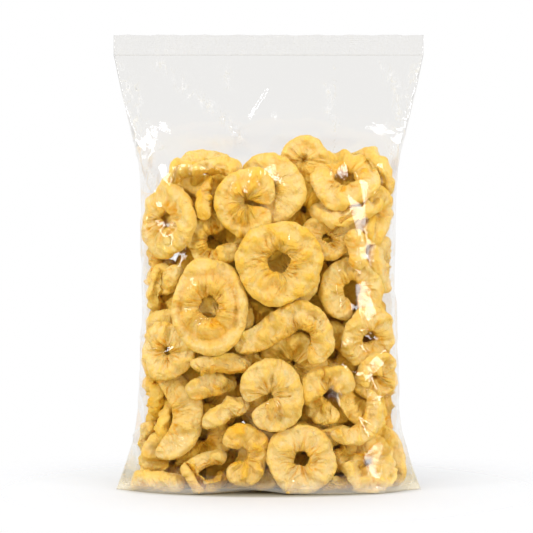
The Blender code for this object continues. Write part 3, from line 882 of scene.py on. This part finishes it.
# The facets of the film: their size and how far their corners stand out, in millimetres, and how
# far the corners stray, as shares of that size. CRUMPLE_DENTS is the push beside the line of a
# crumple, from and to, as shares of the push on it.
FACET_SIZE = 13.0
HEAD_FACET_SIZE = 30.0
HEAD_FACETS_BELOW = 12
FACET_PUSH = 0.9
HEAD_PUSH = 0.35
FACET_STRAY = 0.42
SIDE_FACET_STRAY = 0.3
CRUMPLE_STRAY = 0.4
CRUMPLE_DENTS = (-0.6, 0.3)
FACET_SHARE = 0.9
# Corners are lifted in rounds until their facets clear the rings.
LIFT_ROUNDS = 8
LIFT_SHARE = 0.6

# Where the film is crumpled: a line of (x, z) on the face, the spacing of the crinkles along
# it, how far they reach to each side, and how far they stand out, all in millimetres.
CRUMPLES = (
    (((-96, 272), (-91, 262), (-87, 240), (-84, 225), (-77, 206), (-69, 194), (-62, 155)), 7, 5, 1.6),
    (((96, 272), (90, 245), (81, 219), (76, 200), (68, 168)), 7, 5, 1.6),
    (((-72, 276), (-61, 270), (-56, 260), (-46, 254), (-36, 247), (-25, 236), (-18, 228)), 4, 4, 1.3),
    (((37, 262), (42, 252), (39, 246), (44, 238)), 4, 3, 1.0),
    (((74, 274), (82, 262), (84, 246), (80, 232)), 5, 4, 1.1),
    (((-28, 272), (-26, 262)), 4, 3, 0.9),
    (((-86, 262), (-82, 244), (-76, 232), (-70, 222)), 5, 3, 1.1),
    (((42, 143), (68, 134)), 7, 6, 1.5),
    (((38, 121), (55, 110)), 6, 5, 1.5),
    (((48, 107), (68, 84)), 6, 6, 1.7),
    (((36, 82), (56, 72)), 6, 5, 1.5),
    (((60, 68), (77, 50)), 6, 5, 1.5),
    (((68, 38), (78, 30)), 5, 4, 1.4),
    (((-76, 100), (-50, 86)), 6, 5, 1.5),
    (((-72, 178), (-54, 160)), 6, 5, 1.5),
    (((-82, 34), (-72, 18)), 5, 4, 1.4),
)


def film_base():
    """The filled-out film, row by row, which narrows to a flat ear at each lower corner."""
    heights = np.concatenate([
        np.linspace(0, HEAD_FOOT, HEAP_ROWS), np.linspace(HEAD_FOOT, SEAL_FOOT, HEAD_ROWS + 1)[1:],
    ])
    half_width, half_depth, face, side = (v[:, None] for v in film_section(heights))
    angle = np.linspace(0, math.tau, SECTION_STEPS)[None, :]
    c, s = np.cos(angle), np.sin(angle)
    x = half_width * np.sign(c) * np.abs(c) ** (2 / face)
    y = half_depth * np.sign(s) * np.abs(s) ** (2 / side)
    ear = np.array(EAR_TIP)
    reach = np.interp(heights, ear[:, 0], ear[:, 1], right=0)[:, None] - half_width
    reach = np.maximum(reach, 0)
    near_end = np.clip(1 - np.abs(y) / EAR_ROOT_DEPTH, 0, 1) ** EAR_FALL
    x = x + np.sign(c) * reach * near_end
    rows = []
    for row in range(len(heights)):
        step = np.hypot(np.diff(x[row]), np.diff(y[row]))
        travelled = np.concatenate([[0], np.cumsum(step)])
        at = np.arange(FILM_COLUMNS) * travelled[-1] / FILM_COLUMNS
        rows.append(np.stack([np.interp(at, travelled, x[row]), np.interp(at, travelled, y[row])], 1))
    return heights, np.stack(rows)


def ring_reach(points, heights, base):
    """For each cell of the film, how far out the rings come, as a share of the way to the film."""
    half_width, half_depth, face, side = film_section(points[:, 2])
    share = np.full(len(points), 0.9)
    for _ in range(SCALE_ROUNDS):
        # Finds the scale at which the film's section would pass through the point.
        level = np.abs(points[:, 0] / (half_width * share)) ** face
        level += np.abs(points[:, 1] / (half_depth * share)) ** side
        share = share * np.maximum(level, 1e-6) ** (2 / (face + side))
    row = np.clip(np.searchsorted(heights, points[:, 2]), 0, len(heights) - 1)
    bearing = np.arctan2(points[:, 1] / half_depth, points[:, 0] / half_width) % math.tau
    width, depth = (v[:, None] for v in film_section(heights)[:2])
    scaled = np.arctan2(base[..., 1] / depth, base[..., 0] / width) % math.tau
    scaled[:, 0] = 0
    reached = np.zeros(base.shape[:2])
    for number in range(len(heights)):
        mine = np.nonzero(row == number)[0]
        if len(mine) == 0:
            continue
        column = np.searchsorted(scaled[number], bearing[mine]) % FILM_COLUMNS
        np.maximum.at(reached[number], column, share[mine])
    out = np.hypot(base[..., 0], base[..., 1])
    margin = FILM_CLEARANCE * MM / np.maximum(out, LEAST_REACH)
    for _ in range(SPREAD_ROUNDS):
        reached = np.maximum.reduce([reached, np.roll(reached, 1, 1), np.roll(reached, -1, 1)])
        reached[1:] = np.maximum(reached[1:], reached[:-1] - SPREAD_FALL)
        reached[:-1] = np.maximum(reached[:-1], reached[1:] - SPREAD_FALL)
    return np.where(reached > LEAST_SPREAD, reached + margin, 0)


def stretch_over(reached, held):
    """A taut skin over what it has to clear: harmonic where it is free."""
    skin = np.maximum(reached, SLACK_SHARE)
    skin[held] = 1.0
    for _ in range(SKIN_ROUNDS):
        mean = np.empty_like(skin)
        mean[1:-1] = (skin[2:] + skin[:-2] + np.roll(skin, 1, 1)[1:-1] + np.roll(skin, -1, 1)[1:-1]) / 4
        mean[0], mean[-1] = mean[1], 1.0
        skin = np.maximum(mean + SKIN_DRIFT, reached)
        skin = np.minimum(skin, MOST_SKIN)
        skin[held] = 1.0
    return skin


def facet_points(face, rows, heights, half, cell, draw):
    """Where the facets of one face have their corners: grid row, grid column and a push outward in mm."""
    picks = {}
    top = heights[-1] / MM

    def add(across, height, push):
        u = int(np.clip(round(across / cell), 0, half))
        v = int(np.clip(np.searchsorted(heights, height * MM), 0, rows - 1))
        picks.setdefault((v, u), push if 0 < u < half and 0 < v < rows - 1 else 0.0)

    height = 0.0
    while height < top + 1:
        over_heap = height < HEAD_FOOT / MM - HEAD_FACETS_BELOW
        size = FACET_SIZE if over_heap else HEAD_FACET_SIZE
        spots = np.linspace(0, half * cell, int(half * cell / size) + 1)
        for number, spot in enumerate(spots):
            inner = 0 < number < len(spots) - 1
            if inner:
                shift = draw.uniform(-FACET_STRAY, FACET_STRAY, 2) * size
            else:
                shift = (0, draw.uniform(-SIDE_FACET_STRAY, SIDE_FACET_STRAY) * size)
            rise = shift[1] if 0 < height < top - size else 0
            push = draw.normal(0, FACET_PUSH if over_heap else HEAD_PUSH)
            add(spot + shift[0], min(height + rise, top), push)
        height += size
    for across in (0, half * cell):
        for height in (0, top):
            add(across, height, 0)
    for line, spacing, spread, push in CRUMPLES:
        corners = np.array(line, float)
        steps = np.hypot(*np.diff(corners, axis=0).T)
        travelled = np.concatenate([[0], np.cumsum(steps)])
        for number, at in enumerate(np.arange(0, travelled[-1], spacing)):
            x = np.interp(at, travelled, corners[:, 0])
            z = np.interp(at, travelled, corners[:, 1])
            half_width = np.interp(z * MM, STATIONS[:, 0], STATIONS[:, 1]) / MM
            middle = half * cell / 2 + face * x * (half * cell / 2) / half_width
            for aside in (-1, 0, 1):
                across = middle + aside * spread + draw.uniform(-CRUMPLE_STRAY, CRUMPLE_STRAY) * spread
                amount = push if aside == 0 else draw.uniform(*CRUMPLE_DENTS) * push
                add(across, z + draw.uniform(-CRUMPLE_STRAY, CRUMPLE_STRAY) * spacing, amount)
    return picks


def cells_under(triangle, verts, across, up):
    """The rows and columns of grid points inside one flat triangle, and how much each corner counts there."""
    a, b, c = verts[list(triangle)]
    area = (b[0] - a[0]) * (c[1] - a[1]) - (c[0] - a[0]) * (b[1] - a[1])
    if abs(area) < 1e-6:
        return (), (), ()
    low, high = np.minimum(np.minimum(a, b), c) - 1e-6, np.maximum(np.maximum(a, b), c) + 1e-6
    us = np.arange(np.searchsorted(across, low[0]), np.searchsorted(across, high[0], "right"))
    vs = np.arange(np.searchsorted(up, low[1]), np.searchsorted(up, high[1], "right"))
    px, py = np.meshgrid(across[us], up[vs])
    wb = ((px - a[0]) * (c[1] - a[1]) - (c[0] - a[0]) * (py - a[1])) / area
    wc = ((b[0] - a[0]) * (py - a[1]) - (px - a[0]) * (b[1] - a[1])) / area
    vi, ui = np.nonzero((wb > -1e-6) & (wc > -1e-6) & (1 - wb - wc > -1e-6))
    return vs[vi], us[ui], np.stack([1 - wb - wc, wb, wc], -1)[vi, ui]


def facet_skin(skin, reached, base, heights, draw):
    """The skin as flat facets between scattered points, as stiff film breaks into, clear of the rings."""
    rows, columns = skin.shape
    half = columns // 2
    cell = 2 * (BAG_HIGH[0] - BAG_LOW[0]) / columns / MM
    length = np.maximum(np.sum(base**2, axis=2), 1e-9)
    across, up = np.arange(half + 1) * cell, heights / MM
    faceted = skin.copy()
    for first, face in ((0, -1), (half, 1)):
        picks = facet_points(face, rows, heights, half, cell, draw)
        flat = [Vector((u * cell, heights[v] / MM)) for v, u in picks]
        verts, _, triangles, origins, _, _ = delaunay_2d_cdt(flat, [], [], 0, 1e-4)
        verts = np.array([tuple(v) for v in verts])
        spots = [list(picks)[o[0]] for o in origins]
        row = np.array([v for v, _ in spots])
        column = (first + np.array([u for _, u in spots])) % columns
        push = np.array([picks[spot] for spot in spots]) * MM
        feet = base[row, column]
        share = skin[row, column] + push / np.maximum(np.hypot(*feet.T), LEAST_REACH)
        covers = []
        for triangle in triangles:
            vs, us, weights = cells_under(triangle, verts, across, up)
            if len(vs) == 0:
                continue
            cells = (vs, (first + us) % columns)
            pull = weights * (base[cells] @ feet[list(triangle)].T) / length[cells][:, None]
            covers.append((list(triangle), cells, pull))
        for _ in range(LIFT_ROUNDS):
            lift = np.zeros(len(share))
            for corners, cells, pull in covers:
                short = float(np.max(reached[cells] - pull @ share[corners]))
                if short > 0:
                    lift[corners] = np.maximum(lift[corners], short)
            share += LIFT_SHARE * lift
        share = np.minimum(share, MOST_SHARE)
        for corners, cells, pull in covers:
            faceted[cells] = pull @ share[corners]
    return faceted


# How much the film is whitened at its parts, by crinkles and, along the head's crumples, by painted
# highlights, and between which places that fades in. Places are in millimetres, below zero for heights
# taken downwards, and SIDE_CRINKLES_ACROSS in half widths.
CORNER_CRINKLES = 0.5
CORNER_CRINKLES_ACROSS = (62, 90)
CORNER_CRINKLES_BELOW = (-16, -2)
FOOT_CRINKLES = 0.25
FOOT_CRINKLES_BELOW = (-9, -1)
SIDE_CRINKLES = 0.2
SIDE_CRINKLES_ACROSS = (0.90, 0.98)
SEAM_CRINKLES = 0.6
FIN_SEAM_AT = 43
FIN_SEAM_WIDTH = 1
HEAD_CRINKLE_HIGHLIGHTS = 0.6
HEAD_CRINKLES_BELOW = 20
HEAD_CRINKLES_REACH = 0.9


def crinkle_and_highlight_mask(place):
    """How much white is painted on the film at each of its points: crinkle whitening at its foot, corners,
    sides and back seam, and painted highlights along the head's folds.
    """
    x, z = place[..., 0] / MM, place[..., 2] / MM
    half_width = film_section(place[..., 2])[0] / MM
    aside = np.abs(x)
    corner = smooth_step(aside, *CORNER_CRINKLES_ACROSS) * smooth_step(-z, *CORNER_CRINKLES_BELOW)
    mask = CORNER_CRINKLES * corner
    mask = np.maximum(mask, FOOT_CRINKLES * smooth_step(-z, *FOOT_CRINKLES_BELOW))
    mask = np.maximum(mask, SIDE_CRINKLES * smooth_step(aside / half_width, *SIDE_CRINKLES_ACROSS))
    seam = SEAM_CRINKLES * bell(x, FIN_SEAM_AT, FIN_SEAM_WIDTH) * (place[..., 1] > 0)
    mask = np.maximum(mask, seam)
    for line, _, spread, _ in CRUMPLES:
        corners = np.array(line, float)
        for start, end in zip(corners[:-1], corners[1:]):
            way = end - start
            share = ((x - start[0]) * way[0] + (z - start[1]) * way[1]) / (way @ way)
            share = np.clip(share, 0, 1)
            away = np.hypot(x - start[0] - share * way[0], z - start[1] - share * way[1])
            # Along the head's crumples the white lines are painted highlights.
            strength = HEAD_CRINKLE_HIGHLIGHTS if start[1] > HEAD_FOOT / MM - HEAD_CRINKLES_BELOW else 0.0
            mask = np.maximum(mask, strength * bell(away, 0, HEAD_CRINKLES_REACH * spread))
    return mask


def build_film(rings):
    """The clear film round the rings, from its flat foot to the seal."""
    draw = np.random.default_rng(SEED + 1)
    heights, base = film_base()
    points = []
    for piece in rings:
        flat = np.empty(len(piece.data.vertices) * 3, np.float32)
        piece.data.vertices.foreach_get("co", flat)
        points.append(flat.reshape(-1, 3).astype(float))
    reached = ring_reach(np.concatenate(points), heights, base)
    perimeter = np.linalg.norm(np.diff(base, axis=1), axis=2).sum(1)
    cell = perimeter / FILM_COLUMNS
    column = np.arange(FILM_COLUMNS)
    from_end = np.minimum(column % (FILM_COLUMNS // 2), -column % (FILM_COLUMNS // 2))
    ear_length = base[:, 0, 0] - film_section(heights)[0]
    held = from_end[None, :] * cell[:, None] < ear_length[:, None]
    held |= (from_end <= SIDE_CREASE_COLUMNS)[None, :]
    held[-1] = True
    skin = stretch_over(reached, held)
    faceted = facet_skin(skin, reached, base, heights, draw)
    fade = smooth_step(heights, SEAL_FOOT - SEAL_FADE, SEAL_FOOT)[:, None]
    mixed = skin + FACET_SHARE * (1 - fade) * (faceted - skin)
    mixed = np.where(held, 1.0, np.maximum(mixed, reached))
    place = np.empty(base.shape[:2] + (3,))
    place[..., :2] = base * mixed[..., None]
    lift = BASE_LIFT * bell(place[..., 0], BASE_LIFT_AT, BASE_LIFT_WIDTH)
    lift = lift * np.clip(1 - heights[:, None] / BASE_LIFT_TOP, 0, 1)
    place[..., 2] = heights[:, None] + lift + BASE_HEIGHT
    cap = []
    for share in CAP_SHARES:
        ring = place[0].copy()
        ring[:, :2] *= share
        ring[:, 2] = CAP_HEIGHT + (place[0][:, 2] - CAP_HEIGHT) * share**2
        cap.append(ring)
    place = np.concatenate([np.stack(cap), place])
    quads = grid_quads(place.shape[0], FILM_COLUMNS, False)
    mask = crinkle_and_highlight_mask(place).reshape(-1, 1)
    film = mesh_object("film", place.reshape(-1, 3), quads, np.repeat(mask, 4, axis=1))
    seal = build_seal()
    material = film_material()
    for piece in (film, seal):
        piece.data.materials.append(material)
        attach(piece, BODY)
        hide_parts(NODE)
    return film, seal


# The top seal: both walls pressed together in fine level ribs, and its cut edge. Lengths are in metres.
SEAL_COLUMNS = 160
SEAL_ROWS = 48
SEAL_RIBS = 10
SEAL_RIB_HEIGHT = 0.00022
SEAL_HALF_THICKNESS = 0.0005
SEAL_OVERLAP = 0.0002
SEAL_TOP_GAP = 0.00034
SEAL_CRINKLES = 0.4
# Waves along it, of its cut edge and of the whole: how far in metres, radians in a metre, and the start.
SEAL_EDGE_WAVES = ((0.0002, 260, 0), (0.00012, 611, 1))
SEAL_BOWS = ((0.0005, 47, 0.6), (0.0003, 133, 0))


def build_seal():
    """The top seal, as two walls that meet at the sides."""
    across = np.linspace(BAG_LOW[0], BAG_HIGH[0], SEAL_COLUMNS)
    up = np.linspace(0, 1, SEAL_ROWS)[:, None]
    edge, bow = (
        sum(height * np.sin(across * pace + start) for height, pace, start in waves)
        for waves in (SEAL_EDGE_WAVES, SEAL_BOWS)
    )
    z = SEAL_FOOT - SEAL_OVERLAP + up * (SEAL_HEIGHT - SEAL_TOP_GAP + edge[None, :])
    ribs = SEAL_RIB_HEIGHT * np.sin(up * math.tau * SEAL_RIBS) * np.ones_like(z)
    walls = []
    for face in (-1, 1):
        y = face * SEAL_HALF_THICKNESS + ribs + bow[None, :] * (0.4 + 0.6 * up)
        walls.append(np.stack([np.broadcast_to(across, z.shape), y, z], -1))
    ring = np.concatenate([walls[0], walls[1][:, ::-1]], 1)
    quads = grid_quads(SEAL_ROWS, ring.shape[1], False)
    crest = SEAL_CRINKLES * (0.5 + 0.5 * np.sin(up * math.tau * SEAL_RIBS)) ** 2 * np.ones((1, ring.shape[1]))
    return mesh_object("seal_top", ring.reshape(-1, 3), quads, np.repeat(crest.reshape(-1, 1), 4, axis=1))


class Wiring:
    """The node tree of one material or world, with short ways to add to it."""

    def __init__(self, owner):
        owner.use_nodes = True
        self.nodes = owner.node_tree.nodes
        self.links = owner.node_tree.links

    def feed(self, node, inputs):
        """Sets a node's inputs to plain values or to outputs of other nodes."""
        for key, value in dict(inputs).items():
            if isinstance(value, bpy.types.Node):
                value = value.outputs[0]
            if isinstance(value, bpy.types.NodeSocket):
                self.links.new(value, node.inputs[key])
            else:
                node.inputs[key].default_value = value
        return node

    def add(self, kind, inputs=(), **settings):
        node = self.nodes.new("ShaderNode" + kind)
        for name, value in settings.items():
            setattr(node, name, value)
        return self.feed(node, inputs)

    def math(self, operation, *values, clamp=False):
        return self.add("Math", enumerate(values), operation=operation, use_clamp=clamp).outputs[0]

    def scaled(self, value, factor, offset=0.0):
        """The value times a factor plus an offset, kept between 0 and 1."""
        return self.math("MULTIPLY_ADD", value, factor, offset, clamp=True)

    def ranged(self, value, low, high, first=0.0, last=1.0, interpolation="SMOOTHSTEP"):
        inputs = {"Value": value, "From Min": low, "From Max": high, "To Min": first, "To Max": last}
        return self.add("MapRange", inputs, interpolation_type=interpolation).outputs["Result"]

    def place(self, kind="Object"):
        return self.add("TexCoord").outputs[kind]

    def attribute(self, name):
        return self.add("Attribute", attribute_name=name).outputs

    def noise(self, scale, detail, vector=None):
        inputs = {"Scale": scale, "Detail": detail, "Vector": vector or self.place()}
        return self.add("TexNoise", inputs).outputs["Fac"]

    def ridged(self, value, steepness):
        """Sharp valleys along the lines where smooth noise passes its middle value."""
        return self.scaled(self.math("ABSOLUTE", self.math("SUBTRACT", value, 0.5)), steepness)

    def bump(self, height, strength, distance, normal=None):
        node = self.add("Bump", {"Height": height, "Strength": strength, "Distance": distance})
        return self.feed(node, {"Normal": normal} if normal else {}).outputs["Normal"]

    def layered(self, share, first, second):
        """A mix of two shaders."""
        return self.add("MixShader", enumerate((share, first, second)))

    def mixed_colour(self, share, first, second):
        """A colour between two, each a colour or another node's output."""
        mix = self.add("Mix", {"Factor": share}, data_type="RGBA")
        sockets = [number for number, socket in enumerate(mix.inputs) if socket.type == "RGBA"]
        values = [(*value, 1) if isinstance(value, tuple) else value for value in (first, second)]
        self.feed(mix, zip(sockets, values))
        return next(socket for socket in mix.outputs if socket.type == "RGBA")


# The film: how it dims what is behind it, how it mirrors, its milky foot and its white crinkle lines, which
# are partly whitened film and partly painted highlights.
# Noises have a scale and a detail, and bumps a strength and a distance in metres.
FILM_CLEAR = (0.962, 0.957, 0.948, 1)
FILM_ROUGHNESS = 0.045
FILM_IOR = 1.5
MOST_MIRRORED = 0.25
FILM_BUMP = (0.3, 0.0008)
FILM_BUMP_NOISE = (200, 5)
MILKY_COLOUR = (0.92, 0.90, 0.86, 1)
MILKY_HEIGHT = 0.011
MILKY_SHARE = 0.40
CRINKLE_AND_HIGHLIGHT_COLOUR = (0.92, 0.94, 0.98, 1)
CRINKLE_AND_HIGHLIGHT_SHARE = 0.36
CRINKLE_STRETCH = (1.0, 1.0, 0.45)
CRINKLE_NOISE = (210, 3)
CRINKLE_STEEPNESS = 45.0


def film_material():
    """Clear film: it dims what is behind it a little and mirrors the lights."""
    material = bpy.data.materials.new("clear_film")
    tree = Wiring(material)
    tree.nodes.clear()
    clear = tree.add("BsdfTransparent", {"Color": FILM_CLEAR})
    normal = tree.bump(tree.noise(*FILM_BUMP_NOISE), *FILM_BUMP)
    gloss = tree.add("BsdfGlossy", {"Color": (1, 1, 1, 1), "Roughness": FILM_ROUGHNESS, "Normal": normal})
    mirrored = tree.math("MINIMUM", tree.add("Fresnel", {"IOR": FILM_IOR}), MOST_MIRRORED)
    film = tree.layered(mirrored, clear, gloss)
    # Folds at the foot make the film there milky.
    height = tree.add("SeparateXYZ", {0: tree.place()}).outputs["Z"]
    milk = tree.ranged(height, 0.0, MILKY_HEIGHT, MILKY_SHARE, 0.0)
    film = tree.layered(milk, film, tree.add("BsdfDiffuse", {"Color": MILKY_COLOUR}))
    # Thin white lines along the crinkles: partly the whitening of creased film, and along the head's crumples
    # painted highlights.
    stretched = tree.add("Mapping", {"Scale": CRINKLE_STRETCH, "Vector": tree.place()}).outputs[0]
    valleys = tree.ridged(tree.noise(*CRINKLE_NOISE, stretched), CRINKLE_STEEPNESS)
    share = tree.scaled(tree.attribute("marks")["Fac"], CRINKLE_AND_HIGHLIGHT_SHARE)
    share = tree.math("MULTIPLY", tree.scaled(valleys, -1.0, 1.0), share)
    film = tree.layered(share, film, tree.add("BsdfDiffuse", {"Color": CRINKLE_AND_HIGHLIGHT_COLOUR}))
    tree.add("OutputMaterial", {"Surface": film})
    return material


# The colours of dried apple; the last three also stand for painted shade in folds, hollows and deep in the
# heap.
PALE = (0.83, 0.745, 0.56)
TAN = (0.83, 0.645, 0.25)
ORANGE_CORE_AND_SHADE = (0.88, 0.53, 0.06)
CREASE_TONE_AND_SHADE = (0.87, 0.46, 0.015)
GOLD_TONE_AND_SHADE = (0.87, 0.59, 0.03)


def apple_material():
    """Dried apple: cream yellow, tan round the hole, amber in the folds and at the rim, with painted shade in
    its folds, hollows and dimples, deep in the heap and on sides facing down.
    """
    material = bpy.data.materials.new("dried_apple")
    tree = Wiring(material)
    marks = tree.attribute("marks")
    # Channels of the marks: the core, the folds' colour with painted shade, and the rim's tone with painted
    # shade deep in the heap, in hollows and on sides facing down.
    core, crease_tone_and_shade, rim = tree.add("SeparateColor", {"Color": marks["Color"]}).outputs
    tint = marks["Alpha"]
    # Noises, each with how fine it is and its detail.
    broad = tree.noise(90, 2)
    fine = tree.noise(300, 3)
    dimples = tree.noise(190, 2)
    skin = tree.noise(420, 2)
    creased = tree.ridged(tree.noise(150, 2), 7.0)
    wrinkle = tree.noise(1.0, 2, tree.attribute("grain")["Vector"])
    gathers = tree.math("MULTIPLY", wrinkle, tree.scaled(core, 1.8, 0.30))
    # Each layer of colour: what drives it, times what, plus what, and the colour it leads to. The dimple,
    # crease and wrinkle layers deepen the colour in the low points of their bumps, partly fold colour and
    # partly painted shade; the rim and crease marks carry painted shade as well.
    layers = (
        (tint, 1.8, -0.9, ORANGE_CORE_AND_SHADE),
        (broad, 1.0, -0.36, TAN),
        (fine, 0.6, -0.24, GOLD_TONE_AND_SHADE),
        (dimples, -0.45, 0.21, GOLD_TONE_AND_SHADE),
        (creased, -0.5, 0.25, ORANGE_CORE_AND_SHADE),
        (wrinkle, -1.3, 0.57, ORANGE_CORE_AND_SHADE),
        (rim, 0.75, 0.0, GOLD_TONE_AND_SHADE),
        (core, 0.75, -0.05, ORANGE_CORE_AND_SHADE),
        (crease_tone_and_shade, 1.0, 0.0, CREASE_TONE_AND_SHADE),
    )
    colour = tree.mixed_colour(tree.scaled(tint, 0.7, 0.19), PALE, TAN)
    for value, factor, offset, towards in layers:
        colour = tree.mixed_colour(tree.scaled(value, factor, offset), colour, towards)
    # Each layer of fine relief: its height, its strength and its distance in metres.
    reliefs = (
        (gathers, 1.0, 0.0028),
        (creased, 0.4, 0.0007),
        (dimples, 0.25, 0.0010),
        (skin, 0.8, 0.0014),
    )
    normal = None
    for relief in reliefs:
        normal = tree.bump(*relief, normal)
    tree.feed(tree.nodes["Principled BSDF"], {
        "Base Color": colour,
        "Roughness": tree.scaled(fine, 0.3, 0.38),
        "Specular IOR Level": 0.55,
        "Subsurface Weight": 0.35,
        "Subsurface Radius": (1.0, 0.7, 0.35),
        "Subsurface Scale": 0.003,
        "Normal": normal,
    })
    return material


def build_heap():
    """All the rings, settled and joined in five pieces."""
    placed = place_rings()
    sheets = settle(placed)
    front, second = len(FRONT), len(FRONT) + len(SECOND)
    members = []
    for number, (spot, sheet) in enumerate(zip(placed, sheets)):
        steps = COARSE_STEPS if number >= second else MIDDLE_STEPS
        if number < front:
            steps = FINE_STEPS if spot.ring.arc > SHORT_ARC else SHORT_STEPS
        members.append((spot.ring, sheet, number, steps))
    shown = sorted(members[:front], key=lambda member: -member[0].z)
    third = front // 3
    pieces = [
        heap_piece("rings_front_upper", shown[:third]),
        heap_piece("rings_front_middle", shown[third:2 * third]),
        heap_piece("rings_front_lower", shown[2 * third:]),
        heap_piece("rings_between", members[front:second]),
        heap_piece("rings_hidden", members[second:]),
    ]
    material = apple_material()
    for piece in pieces:
        piece.data.materials.append(material)
        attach(piece, BODY)
        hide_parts(NODE)
    return pieces


# The photo's view: a long lens, nearly level, and the width that its frame takes in.
VIEW_WIDTH = 0.3388
VIEW_CENTRE = Vector((-0.0013, -0.030, 0.1460))
VIEW_DISTANCE = 1.6
VIEW_ELEVATION = math.radians(2.0)
SENSOR = 0.036


def add_camera():
    """The camera, in front of the bag and a little above its middle."""
    data = bpy.data.cameras.new("camera")
    data.sensor_width = SENSOR / MM
    data.lens = SENSOR / MM * VIEW_DISTANCE / VIEW_WIDTH
    camera = linked("camera", data)
    back = Vector((0, -math.cos(VIEW_ELEVATION), math.sin(VIEW_ELEVATION)))
    camera.location = VIEW_CENTRE + back * VIEW_DISTANCE
    camera.rotation_euler = (math.pi / 2 - VIEW_ELEVATION, 0, 0)
    bpy.context.scene.camera = camera


# The lamps: name, place, width and height in metres, power in watts, and whether the film mirrors them.
LAMPS = (
    ("softbox_left", (-1.15, -0.85, 0.70), (0.34, 0.7), 10, True),
    ("softbox_right", (1.10, -0.95, 0.45), (0.30, 0.75), 9, True),
    ("strip_left", (-0.62, -1.06, 1.20), (0.22, 0.34), 3.5, True),
    ("strip_right", (0.62, -1.06, 1.10), (0.22, 0.34), 3.5, True),
    ("key", (-0.55, -1.20, 1.40), (1.3, 1.1), 3.1, False),
    ("top", (0, 0.30, 1.5), (0.9, 0.7), 3.5, False),
)
LAMP_TARGET = Vector((0, 0, 0.14))


def add_lamps():
    """The lamps, each turned towards the middle of the bag."""
    for name, place, size, power, mirrored in LAMPS:
        lamp = bpy.data.lights.new(name, "AREA")
        lamp.shape = "RECTANGLE"
        lamp.size, lamp.size_y = size
        lamp.energy = power
        made = linked(name, lamp)
        made.location = place
        made.rotation_euler = (LAMP_TARGET - Vector(place)).to_track_quat("-Z", "Y").to_euler()
        made.visible_glossy = mirrored


# The studio's even light, its colour outside and inside the bag, and how bright the film mirrors
# what is in front of it and behind it.
WORLD_LIGHT = 0.89
WHITE = (1.0, 1.0, 1.0)
FILL_COLOUR = (1.0, 0.79, 0.21)
FRONT_MIRRORED = 0.04
BACK_MIRRORED = 0.95
MIRRORED_SPAN = (-0.1, 0.5)
TRANSPARENT_BOUNCES = 24


def add_world():
    """The studio's even light, what the film mirrors, and the warmer light inside the bag."""
    world = bpy.data.worlds.new("studio")
    bpy.context.scene.world = world
    tree = Wiring(world)
    path = tree.add("LightPath").outputs
    # The film mirrors a dim room in front of the bag and a white wall behind it.
    way = tree.add("SeparateXYZ", {0: tree.place("Generated")}).outputs["Y"]
    mirrored = tree.ranged(way, *MIRRORED_SPAN, FRONT_MIRRORED, BACK_MIRRORED, "LINEAR")
    strength = WORLD_LIGHT
    for ray, value in (("Is Glossy Ray", mirrored), ("Is Camera Ray", 1.0)):
        strength = tree.add("Mix", {"Factor": path[ray], "A": strength, "B": value}).outputs["Result"]
    # Inside the film the light that fills the shadows is warm, as most of it has passed through fruit.
    seen = tree.math("MAXIMUM", path["Is Glossy Ray"], path["Is Camera Ray"])
    warm = tree.math("MULTIPLY", tree.scaled(path["Transparent Depth"], 1.0), tree.scaled(seen, -1.0, 1.0))
    colour = tree.mixed_colour(warm, WHITE, FILL_COLOUR)
    tree.feed(tree.nodes["Background"], {"Strength": strength, "Color": colour})
    bpy.context.scene.view_settings.view_transform = "Standard"
    bpy.context.scene.cycles.transparent_max_bounces = TRANSPARENT_BOUNCES


# Near the bag the floor takes shadows, with a contact shadow painted on right at its foot, and further
# off it turns to plain white. Each change of colour has a stretch along each axis, and the span of the
# stretched distance over which it goes.
FLOOR_HALF = 3.0
FLOOR_COLOUR = (0.67, 0.69, 0.75)
FLOOR_SHADE_SHAPE = (0.75, 0.75, 1.0)
FLOOR_SHADE_SPAN = (0.030, 0.190)
PAINTED_SHADOW_COLOUR = (0.32, 0.305, 0.265)
PAINTED_SHADOW_SHAPE = (1 / 0.090, 1 / 0.040, 1)
PAINTED_SHADOW_SPAN = (0.82, 1.14)


def add_floor():
    corners = np.array([[-1, -1, 0], [1, -1, 0], [1, 1, 0], [-1, 1, 0]], float) * FLOOR_HALF
    floor = mesh_object("floor", corners, np.array([[0, 1, 2, 3]]))
    material = bpy.data.materials.new("floor_white")
    tree = Wiring(material)

    def away(shape, span):
        """From 0 near the bag to 1 away from it, over this span of a stretched distance."""
        stretched = tree.add("VectorMath", {0: tree.place(), 1: shape}, operation="MULTIPLY")
        length = tree.add("VectorMath", {0: stretched.outputs["Vector"]}, operation="LENGTH")
        return tree.ranged(length.outputs["Value"], *span)

    # A contact shadow is painted on the floor right at the foot of the bag.
    colour = tree.mixed_colour(away(PAINTED_SHADOW_SHAPE, PAINTED_SHADOW_SPAN), PAINTED_SHADOW_COLOUR, FLOOR_COLOUR)
    near = tree.nodes["Principled BSDF"]
    tree.feed(near, {"Base Color": colour, "Roughness": 0.8, "Specular IOR Level": 0.2})
    mix = tree.layered(away(FLOOR_SHADE_SHAPE, FLOOR_SHADE_SPAN), near, tree.add("BsdfTransparent"))
    tree.feed(tree.nodes["Material Output"], {"Surface": mix})
    floor.data.materials.append(material)


add_camera()
add_lamps()
add_world()
add_floor()
build_film(build_heap())
